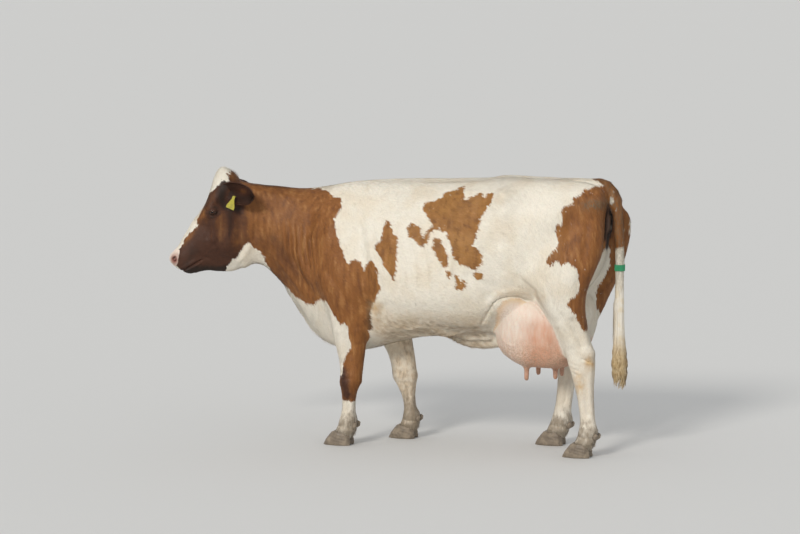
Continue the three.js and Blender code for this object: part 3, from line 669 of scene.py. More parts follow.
def model_udder(clay, udder, net):
    dome = smooth_step(0.010, 0.030, inside_by(clay.points[:, (0, 2)], UDDER_DOME))
    own = dome * (np.abs(clay.points[:, 1]) > 0.12)
    for plane in FLANK.values():
        clay.swell(plane, (0.730, 0.770), (0.095, 0.070), 0.030)
    clay.relax(net, own * np.clip(udder + (clay.points[:, 0] < 0.90), 0, 1), 30)
    for plane in FLANK.values():
        clay.marks(plane, [
            ([(0.868, 0.72), (0.874, 0.62), (0.872, 0.50), (0.870, 0.45)], 0.026, -0.009),
            *((vein, 0.0065, 0.0032, 0.3) for vein in UDDER_VEINS),
            *((lump, 0.008, 0.0028) for lump in UDDER_LUMPS),
            ((0.80, 0.50), (0.07, 0.05), 0.006),
            ((0.95, 0.50), (0.06, 0.05), 0.005)], udder)
    clay.stroke(UNDER_PLANE, [(0.62, 0.0), (0.86, 0.0), (1.08, 0.0)], 0.022, -0.012, only=udder)
    clay.stroke(REAR_PLANE, [(0.0, 0.80), (0.0, 0.65), (0.0, 0.50)], 0.022, -0.014, only=udder)
    clay.stroke(FRONT_PLANE, [(0.0, 0.72), (0.0, 0.60), (0.0, 0.50)], 0.024, -0.008, only=udder)
    for sign in (1, -1):
        for y, sway in ((0.075, 0.012), (0.135, -0.010)):
            rear = [(sign * y, 0.79), (sign * (y + sway), 0.70), (sign * (y - sway), 0.61), (sign * y, 0.53)]
            clay.stroke(REAR_PLANE, rear, 0.0065, 0.0034, only=udder, fade=0.3)


# The marks on each kind of leg, as a share from its front to its back and a height.
LEG_MARKS = {
    "fore": [
        ([(0.52, 0.68), (0.56, 0.58), (0.58, 0.47)], 0.014, -0.007),
        ([(0.28, 0.67), (0.30, 0.57), (0.30, 0.45)], 0.022, 0.005),
        ([(0.82, 0.66), (0.84, 0.56)], 0.022, 0.004),
        ([(0.20, 0.44), (0.30, 0.40), (0.30, 0.36)], 0.012, 0.003),
        ((0.40, 0.352), (0.030, 0.024), 0.0045),
        ((0.45, 0.392), (0.024, 0.014), 0.003),
        ([(0.02, 0.318), (0.40, 0.312), (0.95, 0.318)], 0.010, -0.0016, 0.3),
        ([(0.02, 0.372), (0.40, 0.372), (0.80, 0.378)], 0.010, -0.0008, 0.3),
        ([(0.64, 0.300), (0.63, 0.235), (0.64, 0.175)], 0.008, -0.0055),
        ([(0.84, 0.300), (0.84, 0.235), (0.84, 0.180)], 0.009, 0.003),
        ((0.62, 0.140), (0.026, 0.022), 0.0035),
        ([(0.02, 0.112), (0.50, 0.104), (0.98, 0.108)], 0.008, -0.003, 0.1),
        ([(0.05, 0.086), (0.50, 0.084), (0.95, 0.088)], 0.008, 0.003, 0.1)],
    "hind": [
        ([(0.70, 0.77), (0.74, 0.69), (0.76, 0.62), (0.72, 0.565)], 0.017, -0.011),
        ([(0.95, 0.76), (0.95, 0.66), (0.93, 0.60)], 0.012, 0.004),
        ([(0.30, 0.74), (0.34, 0.66), (0.36, 0.58)], 0.022, 0.005),
        ([(0.42, 0.80), (0.50, 0.71), (0.52, 0.62)], 0.014, -0.004),
        ((0.86, 0.560), (0.024, 0.026), 0.0065),
        ([(0.62, 0.540), (0.75, 0.528), (0.92, 0.516)], 0.007, -0.005),
        ((0.30, 0.500), (0.028, 0.036), 0.004),
        *(([(0.10, z + 0.012), (0.30, z), (0.52, z - 0.010)], 0.0055, -0.0020)
          for z in (0.505, 0.478, 0.452)),
        ([(0.64, 0.470), (0.62, 0.350), (0.62, 0.200)], 0.010, -0.0075),
        ([(0.85, 0.470), (0.85, 0.340), (0.85, 0.200)], 0.011, 0.004),
        ([(0.28, 0.450), (0.28, 0.320), (0.28, 0.190)], 0.014, 0.003),
        ((0.60, 0.148), (0.028, 0.024), 0.004),
        ([(0.02, 0.118), (0.50, 0.110), (0.98, 0.114)], 0.008, -0.003, 0.1),
        ([(0.05, 0.088), (0.50, 0.086), (0.95, 0.090)], 0.008, 0.003, 0.1),
        # vein over the gaskin
        ([(0.30, 0.745), (0.44, 0.690), (0.42, 0.630), (0.52, 0.575)], 0.006, 0.0028, 0.3)],
}
# Knobs of bone at the edges of each kind of leg: their share, height, reach and rise.
LEG_KNOBS = {
    "fore": [(0.04, 0.345, 0.030, 0.005), (0.98, 0.352, 0.022, 0.007), (0.98, 0.140, 0.022, 0.004)],
    "hind": [(0.98, 0.560, 0.026, 0.006), (0.98, 0.148, 0.024, 0.004)],
}
# The cleft over the claws: its top in front, its top behind, and its middle.
CLEFTS = {"fore": (0.128, 0.120, 0.095), "hind": (0.130, 0.122, 0.098)}
CLEFT_FOOT = 0.070


def model_leg(clay, end, line, mine):
    for plane in FLANK.values():
        clay.marks(plane, line.placed(LEG_MARKS[end]), mine)
    y = clay.points[mine > 0.5, 1].mean()
    for share, height, reach, rise in LEG_KNOBS[end]:
        clay.ball((line.at(share, height), y, height), reach, rise, mine)
    front, rear, middle = CLEFTS[end]
    clay.stroke(FRONT_PLANE, [(y, front), (y, middle), (y, CLEFT_FOOT)], 0.008, -0.006, mine)
    clay.stroke(REAR_PLANE, [(y, rear), (y, middle), (y, CLEFT_FOOT)], 0.010, -0.007, mine)


def model_tail(clay):
    """The hollows beside the tail's root."""
    for plane in FLANK.values():
        clay.stroke(plane, [(1.10, 1.418), (1.17, 1.412), (1.222, 1.370)], 0.010, -0.008, fade=0.3)


# ---------------------------------------------------------------- the face
LID_HALF = 0.0200  # half the length of the eye's opening
LID_UPPER = 0.0120
LID_LOWER = 0.0088
LID_THICK = 0.0024


def eye_axes(hand):
    """The eye's centre, and its own axes: towards the nose, up, and out."""
    out = unit(0.93 * hand * HEAD_LEFT + 0.22 * HEAD_OUT + 0.22 * HEAD_DOWN)
    nose = unit(HEADING - (HEADING @ out) * out - 0.10 * UP)
    nose = unit(nose - (nose @ out) * out)
    up = np.cross(out, nose) * hand
    return EYE_CENTRES[0 if hand > 0 else 1], np.stack((nose, up, out))


def lid_edge(along, upper):
    """How far the upper or the lower lid's edge is from the eye's long axis."""
    share = np.clip(1 - (along / LID_HALF) ** 2, 0, 1)
    lean = 1 + 0.25 * np.clip(along / LID_HALF, -1, 1)
    return np.where(upper, LID_UPPER * share ** 0.62 * lean, -LID_LOWER * share ** 0.75)


def model_eye(clay, hand):
    """Opens the lids over the eye, which lies under them; returns how near each point is to their edge."""
    centre, axes = eye_axes(hand)
    place = (clay.points - centre) @ axes.T
    flat = np.linalg.norm(place[:, :2], axis=1)
    near = np.flatnonzero((flat < 0.040) & (place[:, 2] > -0.012) & (place[:, 2] < 0.05))
    along, rise, out = place[near].T
    edge = lid_edge(along, rise > 0)
    past = np.where(rise > 0, rise - edge, edge - rise)  # positive on the lid, negative in the opening
    past = np.where(np.abs(along) < LID_HALF, past, np.hypot(np.abs(along) - LID_HALF, rise))
    ball = np.sqrt(np.clip(EYE_RADIUS ** 2 - flat[near] ** 2, 0, None))
    lid = np.sqrt(np.clip((EYE_RADIUS + LID_THICK) ** 2 - flat[near] ** 2, 0, None))
    hug = smooth_step(0.013, 0.003, past) * (flat[near] < EYE_RADIUS + 0.001)
    out = out + hug * (lid - out)
    sunk = smooth_step(0.0002, -0.0022, past)
    out = out + sunk * (np.minimum(ball - 0.0045, out) - out)
    place[near, 2] = out
    clay.points[near] = centre + place[near] @ axes
    rim = np.zeros(len(clay.points))
    rim[near] = smooth_step(0.0042, 0.0012, np.abs(past - 0.0008)) * (place[near, 2] > 0)
    plane = Plane(centre, *axes)
    clay.turned()
    upper = [(x, float(lid_edge(np.array(x), True)) + 0.0072) for x in (0.021, 0.012, 0.0, -0.012, -0.023)]
    clay.marks(plane, [
        ([(0.027, -0.001)] + upper + [(-0.030, 0.001)], 0.0024, -0.0022, 0.15),
        ([(x, y + 0.0065) for x, y in upper], 0.0046, 0.0022, 0.2)])
    lower = [(x, float(lid_edge(np.array(x), False)) - 0.0066) for x in (0.018, 0.008, -0.004, -0.016)]
    clay.marks(plane, [
        (lower, 0.0024, -0.0017, 0.2),
        ([(x, y - 0.0070) for x, y in lower], 0.0028, -0.0012, 0.25),
        ([(0.020, -0.002), (0.028, -0.008), (0.038, -0.018)], 0.0035, -0.0020, 0.25),
        ([(-0.020, 0.000), (-0.028, 0.000), (-0.036, -0.004)], 0.0030, -0.0015, 0.25)])
    return rim


def model_nostril(clay, hand):
    centre = NOSTRIL_CENTRES[0 if hand > 0 else 1]
    facing = unit(0.50 * HEAD_DOWN + 0.12 * HEAD_OUT + 0.85 * hand * HEAD_LEFT)
    nose = unit(HEAD_DOWN - (HEAD_DOWN @ facing) * facing)
    up = np.cross(facing, nose) * hand
    plane = Plane(centre, nose, up, facing)
    wing = [(0.013, -0.014), (-0.002, -0.020), (-0.018, -0.012), (-0.023, 0.003), (-0.014, 0.016),
            (0.002, 0.019)]
    clay.stroke(plane, wing, 0.0075, 0.0052, fade=0.25)
    clay.turned()
    clay.marks(plane, [
        ([(0.008, -0.003), (-0.001, -0.006), (-0.008, -0.001), (-0.010, 0.007)], 0.0058, -0.0075, 0.3),
        ((0.000, -0.003), (0.0080, 0.0065), -0.0085)])
    clay.turned()


def model_head(clay):
    for hand, side in ((1, "left"), (-1, "right")):
        plane = CHEEK[side]
        clay.marks(plane, [
            ([(0.165, -0.070), (0.185, -0.046), (0.220, -0.032), (0.258, -0.040)], 0.013, 0.0055),
            ((0.165, -0.115), (0.032, 0.030), -0.0075),
            ([(0.262, -0.092), (0.305, -0.128), (0.350, -0.158), (0.395, -0.178)], 0.013, 0.0052),
            ([(0.275, -0.070), (0.330, -0.105), (0.390, -0.130)], 0.018, -0.0045),
            ((0.335, -0.255), (0.075, 0.065), 0.007),
            ([(0.215, -0.300), (0.275, -0.345), (0.350, -0.352), (0.430, -0.335)], 0.017, 0.005),
            ([(0.405, -0.190), (0.420, -0.250), (0.425, -0.320)], 0.022, -0.006),
            ([(0.285, -0.035), (0.380, -0.036), (0.480, -0.040)], 0.010, 0.0022),
            ([(0.325, -0.130), (0.362, -0.158), (0.385, -0.195), (0.420, -0.212), (0.425, -0.250)], 0.0060,
              0.0018, 0.35),
            ([(0.385, -0.195), (0.430, -0.176), (0.470, -0.170)], 0.0055, 0.0015, 0.35)])
        # the line of the mouth, and the lips
        mouth = [(0.607, -0.106), (0.586, -0.122), (0.556, -0.138), (0.525, -0.153), (0.500, -0.166),
                 (0.482, -0.176)]
        clay.marks(plane, [
            (mouth, 0.0044, -0.0072, 0.12),
            ([(x, y + 0.016) for x, y in mouth[:5]], 0.0095, 0.0035),
            ([(x - 0.004, y - 0.016) for x, y in mouth[:5]], 0.0085, 0.0042),
            ([(0.480, -0.168), (0.466, -0.186), (0.462, -0.215)], 0.0090, -0.0022, 0.4),
            ([(0.468, -0.160), (0.450, -0.184), (0.444, -0.215)], 0.0090, 0.0020, 0.4)])
        for down, depth in ((0.541, 0.0012), (0.524, 0.0016), (0.510, 0.0009)):
            path = [(down, -0.022), (down - 0.010, -0.045), (down - 0.004, -0.074)]
            clay.stroke(plane, path, 0.0050, -depth, fade=0.45)
        clay.swell(plane, (0.535, -0.195), (0.030, 0.022), 0.004)
        clay.ball(from_head(0.102, -0.058, 0.080 * hand), 0.038, 0.007)
        clay.ball(from_head(0.020, -0.030, 0.052 * hand), 0.028, 0.004)
    clay.marks(NOSE_PLANE, [
        ([(-0.050, -0.124), (-0.020, -0.111), (0.020, -0.111), (0.050, -0.124)], 0.0048, -0.008, 0.05),
        ([(0.0, -0.050), (0.0, -0.102)], 0.0040, -0.0030)])
    clay.marks(FACE_PLANE, [
        ([(0.10, 0.0), (0.20, 0.0), (0.27, 0.0)], 0.016, -0.0030),
        ([(0.29, 0.0), (0.40, 0.0), (0.50, 0.0)], 0.016, 0.0026)])
    clay.stroke(UNDER_PLANE, [tuple(from_head(d, 0, 0)[:2]) for d in (0.28, 0.38, 0.48)], 0.026, -0.010)


# ---------------------------------------------------------------- ears
# Along the ear: how far, half the width, the hollow's depth, and the thickness.
EAR = np.array([(-0.022, 0.022, 0.020, 0.010), (0.000, 0.034, 0.026, 0.008), (0.045, 0.052, 0.029, 0.0060),
                (0.095, 0.061, 0.0265, 0.0045), (0.145, 0.056, 0.019, 0.0036), (0.178, 0.043, 0.012, 0.0030),
                (0.195, 0.022, 0.005, 0.0024)])
EAR_BASE = (0.108, -0.056, 0.080)  # down, out and left of the poll
EAR_TOWARDS = (0.80, 0.55, 0.16)  # back, to the side, down
EAR_OPENING = (-0.35, 0.80, 0.10)  # the same


def ear_axes(hand):
    def towards(way):
        return -way[0] * HEADING + way[1] * hand * HEAD_LEFT - way[2] * UP

    axis = unit(towards(EAR_TOWARDS))
    opening = towards(EAR_OPENING)
    opening = unit(opening - (opening @ axis) * axis)
    down, out, left = EAR_BASE
    origin = from_head(down, out, left * hand)
    return origin, axis, opening, np.cross(axis, opening)


def ear_leaf(hand, rows=44, columns=30):
    """One ear: its points, triangles, how far along each point is, and how far inside the hollow."""
    origin, axis, opening, across = ear_axes(hand)
    stations = through(EAR, 12)
    share = np.linspace(0, 1, rows) ** 0.9
    even = np.linspace(0, 1, len(stations))
    along, half, depth, thick = (np.interp(share, even, column) for column in stations.T)
    sweep = np.linspace(0, np.pi, columns)
    points, inside = [], []
    for row in range(rows):
        ripple = 0.0012 * np.cos(6 * sweep) * np.sin(np.pi * share[row])
        for hollow in (False, True):
            turn = sweep[::-1] if hollow else sweep
            inset = thick[row] * np.sin(turn) ** 0.5 + ripple if hollow else 0.0
            side = np.cos(turn) * half[row] * (1 - 0.06 * hollow)
            deep = np.sin(turn) ** 0.9 * depth[row] - inset
            rim = 0.004 * np.cos(turn) ** 8
            here = along[row] + 0.010 * share[row] * np.sin(turn)
            place = origin + here[:, None] * axis + side[:, None] * across
            points.append(place - (deep + rim)[:, None] * opening)
            inside.append(np.full(columns, float(hollow)) * np.sin(turn))
    points = np.concatenate(points)
    ring = 2 * columns
    faces = []
    for row in range(rows - 1):
        for column in range(ring):
            a, b = row * ring + column, row * ring + (column + 1) % ring
            faces += [(a, b, b + ring), (a, b + ring, a + ring)]
    last = (rows - 1) * ring
    faces += [(0, i + 1, i) for i in range(1, ring - 1)]
    faces += [(last, last + i, last + i + 1) for i in range(1, ring - 1)]
    faces = np.array(faces)
    a, b, c = (points[faces[:, i]] for i in range(3))
    if np.einsum("ij,ij->i", a, np.cross(b, c)).sum() < 0:
        faces = faces[:, ::-1]
    return points, faces, np.repeat(share, ring), np.concatenate(inside)


# ---------------------------------------------------------------- the finished skin
SKIN_FACES = 168000
BARE = dict.fromkeys(SOFTNESS, 0.0) | {"udder": 1.0, "teat": 1.0}


def share_of(node, names, net):
    """How much each point belongs to the named nodes, soft at their border."""
    return net.spread(on(node, *names).astype(float), 4)


def modelled_skin():
    """The skin with its muscles, bones, folds and features, and how near each point is to a lid's edge."""
    mesh, node = bare_skin()
    points = points_of(mesh)
    net = Net(edges_of(mesh), len(points))
    clay = Clay(points, triangles_of(mesh))
    for model in (model_neck, model_shoulder, model_barrel, model_belly):
        model(clay)
    model_rump(clay, 1 - share_of(node, ("tail",), net))
    model_tail(clay)
    clay.turned()
    model_udder(clay, net.spread(by_node(BARE, node), 4), net)
    clay.turned()
    for leg, names in LEG_NODES.items():
        mine = share_of(node, names, net)
        model_leg(clay, leg[:4], LegLine(clay.points, mine > 0.9), mine)
    model_head(clay)
    clay.turned()
    rim = np.zeros(len(points))
    for hand in (1, -1):
        model_nostril(clay, hand)
        rim = np.maximum(rim, model_eye(clay, hand))
    set_points(mesh, clay.points)
    set_values(mesh, "rim", rim)
    return mesh


def thinned(mesh, faces):
    """The mesh with fewer faces, most of them kept where it bends most."""
    thin_piece = new_object("thin", mesh)
    thin = thin_piece.modifiers.new("thin", "DECIMATE")
    thin.ratio = faces / len(triangles_of(mesh))
    thin.use_collapse_triangulate = True
    return modified_mesh(thin_piece)


class Skin:
    """The finished skin with its ears, as arrays in the cow's own frame."""

    def __init__(self):
        body = thinned(modelled_skin(), SKIN_FACES)
        block, owners = flesh_block()
        self.points = points_of(body)
        self.triangles = triangles_of(body)
        self.node = nearest_nodes(self.points, block, owners)
        self.rim = taken(body.attributes["rim"].data, "value", 1, np.float32)[:, 0].astype(float)
        self.ear = np.zeros(len(self.points))  # how far along an ear, its hand as the sign
        self.hollow = np.zeros(len(self.points))
        for hand in (1, -1):
            points, faces, along, hollow = ear_leaf(hand)
            self.triangles = np.concatenate((self.triangles, faces + len(self.points)))
            self.points = np.concatenate((self.points, points))
            self.node = np.concatenate((self.node, np.full(len(points), NODE_NAMES.index("head"))))
            self.rim = np.concatenate((self.rim, np.zeros(len(points))))
            self.ear = np.concatenate((self.ear, hand * (0.001 + along)))
            self.hollow = np.concatenate((self.hollow, hollow))
        self.normals = normals_at(self.points, self.triangles)
        mesh = mesh_of("skin", self.points + ORIGIN, self.triangles)
        shade_smooth(mesh)
        self.mesh = mesh
        self.net = Net(edges_of(mesh), len(self.points))


SKIN = Skin()


# ---------------------------------------------------------------- markings
# Outlines of the brown patches on each side, along X and Z.
THROAT = [(-0.900, 0.960), (-0.826, 1.023), (-0.789, 1.080), (-0.764, 1.094), (-0.746, 1.064),
          (-0.719, 1.039), (-0.706, 1.004), (-0.695, 0.969), (-0.674, 0.927), (-0.640, 0.850),
          (-0.900, 0.850)]
PATCHES = {
    "left": {
        "shoulder": [
            (-1.70, 1.80), (-0.53, 1.80), (-0.490, 1.392), (-0.450, 1.380), (-0.400, 1.390), (-0.350, 1.380),
            (-0.310, 1.350), (-0.260, 1.350), (-0.238, 1.320), (-0.240, 1.280), (-0.270, 1.240),
            (-0.258, 1.225), (-0.230, 1.130), (-0.190, 1.050), (-0.165, 1.005), (-0.120, 1.030),
            (-0.080, 1.020), (-0.068, 0.975), (-0.045, 1.010), (-0.020, 1.040), (0.010, 1.000),
            (0.032, 0.965), (0.020, 0.940), (0.042, 0.880), (0.000, 0.820), (-0.045, 0.740), (-0.050, 0.620),
            (-0.165, 0.680), (-0.210, 0.670), (-0.250, 0.720), (-0.300, 0.790), (-0.350, 0.800),
            (-0.410, 0.760), (-0.460, 0.770), (-0.530, 0.800), (-0.580, 0.840), (-0.640, 0.870),
            (-1.70, 0.60)],
        "rib": [
            (0.060, 1.245), (0.082, 1.215), (0.098, 1.180), (0.130, 1.160), (0.132, 1.030), (0.128, 0.980),
            (0.118, 0.925), (0.090, 0.970), (0.060, 1.010), (0.030, 1.060), (-0.008, 1.100), (0.030, 1.140),
            (0.040, 1.210)],
        "loin": [
            (0.460, 1.430), (0.480, 1.362), (0.520, 1.382), (0.570, 1.402), (0.580, 1.375), (0.610, 1.395),
            (0.650, 1.402), (0.630, 1.340), (0.590, 1.300), (0.578, 1.230), (0.570, 1.170), (0.550, 1.130),
            (0.600, 1.092), (0.606, 1.045), (0.570, 1.000), (0.530, 1.020), (0.490, 1.030), (0.460, 1.055),
            (0.440, 1.100), (0.425, 1.150), (0.405, 1.200), (0.380, 1.190), (0.360, 1.225), (0.310, 1.250),
            (0.270, 1.290), (0.250, 1.320), (0.262, 1.345), (0.310, 1.350), (0.350, 1.370), (0.350, 1.395),
            (0.400, 1.410)],
        "loin_arm": [
            (0.200, 1.245), (0.180, 1.210), (0.198, 1.160), (0.230, 1.155), (0.268, 1.108), (0.305, 1.140),
            (0.312, 1.190), (0.360, 1.210), (0.350, 1.260), (0.320, 1.235), (0.288, 1.190), (0.275, 1.165),
            (0.250, 1.220), (0.225, 1.225)],
        "loin_streak": [
            (0.340, 1.165), (0.375, 1.160), (0.400, 1.110), (0.425, 1.060), (0.428, 1.010), (0.395, 1.005),
            (0.368, 1.060), (0.335, 1.100)],
        "spot_1": [(0.418, 0.992), (0.444, 0.990), (0.436, 0.962), (0.412, 0.948)],
        "spot_2": [(0.452, 0.975), (0.480, 0.968), (0.500, 0.930), (0.522, 0.945), (0.512, 0.900),
                   (0.482, 0.880), (0.462, 0.905), (0.470, 0.935)],
        "spot_3": [(0.560, 0.985), (0.595, 0.990), (0.615, 0.968), (0.590, 0.945), (0.565, 0.955)],
        "rump": [
            (1.130, 1.432), (1.100, 1.400), (1.072, 1.390), (1.068, 1.355), (1.028, 1.345), (1.022, 1.300),
            (1.030, 1.240), (1.005, 1.250), (0.985, 1.228), (1.000, 1.195), (1.015, 1.150), (0.990, 1.110),
            (0.965, 1.090), (0.950, 1.055), (0.975, 1.030), (1.000, 1.055), (1.020, 1.060), (1.035, 1.030),
            (1.060, 1.060), (1.090, 1.040), (1.115, 1.020), (1.125, 0.970), (1.130, 0.935), (1.115, 0.885),
            (1.090, 0.860), (1.062, 0.832), (1.085, 0.800), (1.108, 0.785), (1.122, 0.740), (1.140, 0.690),
            (1.300, 0.690), (1.300, 1.470)],
    },
    "right": {
        "shoulder": [
            (-1.70, 1.80), (-0.56, 1.80), (-0.500, 1.400), (-0.430, 1.370), (-0.400, 1.300), (-0.345, 1.340),
            (-0.280, 1.290), (-0.255, 1.190), (-0.300, 1.110), (-0.245, 1.040), (-0.200, 0.930),
            (-0.245, 0.865), (-0.310, 0.850), (-0.365, 0.785), (-0.440, 0.800), (-0.520, 0.830),
            (-0.600, 0.860), (-1.70, 0.60)],
        "rib": [
            (0.120, 1.360), (0.180, 1.325), (0.150, 1.260), (0.225, 1.200), (0.270, 1.085), (0.345, 1.040),
            (0.398, 1.120), (0.460, 1.098), (0.525, 1.180), (0.500, 1.280), (0.575, 1.325), (0.555, 1.402),
            (0.470, 1.375), (0.410, 1.398), (0.300, 1.395), (0.210, 1.405)],
        "elbow_spot": [(0.020, 1.020), (0.070, 1.060), (0.102, 1.000), (0.080, 0.930), (0.030, 0.912),
                       (-0.008, 0.950)],
        "flank": [(0.620, 0.985), (0.700, 1.035), (0.760, 0.990), (0.800, 1.052), (0.842, 0.980),
                  (0.800, 0.920), (0.722, 0.900), (0.662, 0.920)],
        "rump": [
            (1.140, 1.430), (1.040, 1.385), (0.978, 1.345), (1.002, 1.262), (0.940, 1.200), (0.982, 1.120),
            (0.950, 1.022), (1.020, 0.962), (1.080, 0.905), (1.102, 0.800), (1.160, 0.700), (1.300, 0.700),
            (1.300, 1.470)],
    },
}
FORELEG_PATCH = [
    (-0.300, 0.800), (-0.243, 0.715), (-0.224, 0.672), (-0.191, 0.684), (-0.172, 0.673), (-0.179, 0.647),
    (-0.172, 0.609), (-0.162, 0.550), (-0.180, 0.514), (-0.200, 0.487), (-0.208, 0.450), (-0.205, 0.403),
    (-0.260, 0.375), (-0.290, 0.300), (-0.230, 0.262), (-0.170, 0.243), (-0.100, 0.255), (0.020, 0.300),
    (-0.020, 0.600), (-0.050, 0.700), (0.000, 0.820), (-0.100, 0.900)]
# Down the face: half the width of the white, and how far out it starts.
BLAZE = np.array([(-0.040, 0.046, -0.030), (-0.016, 0.050, -0.034), (0.010, 0.058, -0.040),
                  (0.030, 0.068, -0.050), (0.046, 0.076, -0.060), (0.060, 0.074, -0.050),
                  (0.075, 0.072, -0.042), (0.097, 0.070, -0.036), (0.124, 0.067, -0.036),
                  (0.145, 0.056, -0.040), (0.167, 0.040, -0.040), (0.190, 0.024, -0.040),
                  (0.212, 0.018, -0.040), (0.236, 0.032, -0.040), (0.262, 0.042, -0.040),
                  (0.290, 0.046, -0.050), (0.336, 0.043, -0.060), (0.392, 0.037, -0.060),
                  (0.440, 0.033, -0.060), (0.475, 0.038, -0.070), (0.505, 0.042, -0.080),
                  (0.540, 0.050, -0.090), (0.620, 0.060, -0.105), (0.700, 0.040, -0.100)])
# Down the face: how far out the pink of the nose starts.
NOSE = np.array([(0.490, 0.010), (0.505, -0.020), (0.513, -0.041), (0.543, -0.055), (0.570, -0.064),
                 (0.592, -0.068), (0.620, -0.082), (0.700, -0.100)])
# Dark strokes of the face, along down and out: where they run, how wide from start to end, and how dark.
# They are partly the face's own dark coat and partly painted shade: the first two strokes under the ear, the
# last along the underside of the jaw.
FACE_DARK = [
    ([(0.075, -0.045), (0.120, -0.060), (0.160, -0.085), (0.168, -0.125), (0.145, -0.185)],
     0.044, 0.036, 1.00),
    ([(0.175, -0.150), (0.235, -0.190), (0.300, -0.224)], 0.040, 0.010, 0.85),
    ([(0.214, -0.078), (0.252, -0.084)], 0.038, 0.038, 0.90),
    ([(0.262, -0.092), (0.297, -0.100), (0.338, -0.118), (0.407, -0.140), (0.500, -0.140)],
     0.038, 0.085, 0.62),
    ([(0.470, -0.105), (0.535, -0.112), (0.595, -0.118)], 0.072, 0.066, 0.80),
    ([(0.590, -0.140), (0.535, -0.200), (0.475, -0.290), (0.400, -0.345), (0.320, -0.372)],
     0.052, 0.026, 1.00),
]
# The same on the neck, along X and Z.
# Partly the neck's darker coat and partly painted shade beneath the jaw.
THROAT_DARK = [
    ([(-0.860, 1.250), (-0.790, 1.180), (-0.740, 1.120), (-0.660, 1.010), (-0.590, 0.900)],
     0.085, 0.060, 0.30),
    ([(-0.640, 1.120), (-0.580, 1.030), (-0.520, 0.945), (-0.450, 0.860)], 0.052, 0.042, 0.36),
]
# And on the left knee, and at the back of the elbow.
KNEE_DARK = [([(-0.208, 0.415), (-0.200, 0.370), (-0.192, 0.320), (-0.186, 0.280)], 0.027, 0.031, 0.66),
             ([(-0.036, 0.800), (-0.048, 0.720), (-0.060, 0.640)], 0.022, 0.018, 0.62)]
# Lighter, redder strokes, in the same way.
FACE_LIGHT = [
    ([(0.262, -0.028), (0.340, -0.030), (0.430, -0.040)], 0.026, 0.020, 0.42),
    ([(0.238, -0.120), (0.285, -0.158), (0.335, -0.190)], 0.022, 0.016, 0.24),
    ([(0.120, -0.300), (0.210, -0.285), (0.290, -0.290)], 0.055, 0.045, 0.22),
]


def side_brown(points, side):
    """How far inside the side's nearest patch each point is."""
    flat = points[:, (0, 2)]
    return np.max([inside_by(flat, outline) for outline in PATCHES[side].values()], axis=0)


def blob(flat, place, reach):
    """A soft round or long spot: 1 in its middle, falling away over the reach."""
    return np.exp(-(((flat - np.asarray(place)) / reach) ** 2).sum(axis=1))


def strokes_over(flat, strokes):
    """How strongly soft strokes cover each place."""
    cover = np.zeros(len(flat))
    for path, wide, narrow, depth in strokes:
        line = through(path, 6)
        share = np.linspace(0, 1, len(line))
        for place, along in zip(line, share):
            cover = np.maximum(cover, depth * blob(flat, place, wide + along * (narrow - wide)))
    return cover


def brown_of(points, node, ear):
    """How far inside a brown patch each point is, in metres; negative in the white."""
    x, y, z = points.T
    right = smooth_step(-0.05, 0.05, y)
    brown = side_brown(points, "left") * (1 - right) + side_brown(points, "right") * right
    medial = np.abs(y) - np.interp(z, (0.70, 1.00, 1.10, 1.16), (0.120, 0.100, 0.060, -0.060))
    brown = np.where(x > 1.08, np.minimum(brown, medial), brown)
    brown = np.minimum(brown, np.where(z < 0.64, -0.02, 1.0))
    leg = on(node, *LEG_NODES["fore_left"])
    middle = points[leg & (z < 0.5), 1].mean()
    outer = np.minimum(inside_by(points[:, (0, 2)], FORELEG_PATCH), middle + 0.012 - y)
    brown = np.where(leg & (z < 0.84), outer, brown)
    brown = np.where(on(node, *LEG_NODES["fore_right"]) & (z < 0.78), -0.05, brown)
    root = np.minimum(0.03, (z - 1.115) + 0.3 * (1.27 - x))
    spot = 0.022 - np.hypot(x - 1.235, z - 1.372)
    brown = np.where(on(node, "tail"), np.minimum(root, -spot), brown)
    # the head is brown but for its blaze
    down, out, left = in_head(points).T
    half, start = (np.interp(down, BLAZE[:, 0], column) for column in BLAZE.T[1:])
    sway = 0.006 * np.sin(down * 21) + 0.004 * np.sin(down * 53 + 1)
    white = np.minimum(half - np.abs(left - sway), out - start)
    face = on(node, "head") | (down < 0.04) & (x < -0.85)
    brown = np.where(face, -white, brown)
    throat = inside_by(points[:, (0, 2)], THROAT)
    brown = np.where(x < -0.60, np.minimum(brown, -throat), brown)
    return np.where(ear != 0, 0.05, brown)


NOSTRIL_REACH = 0.0270


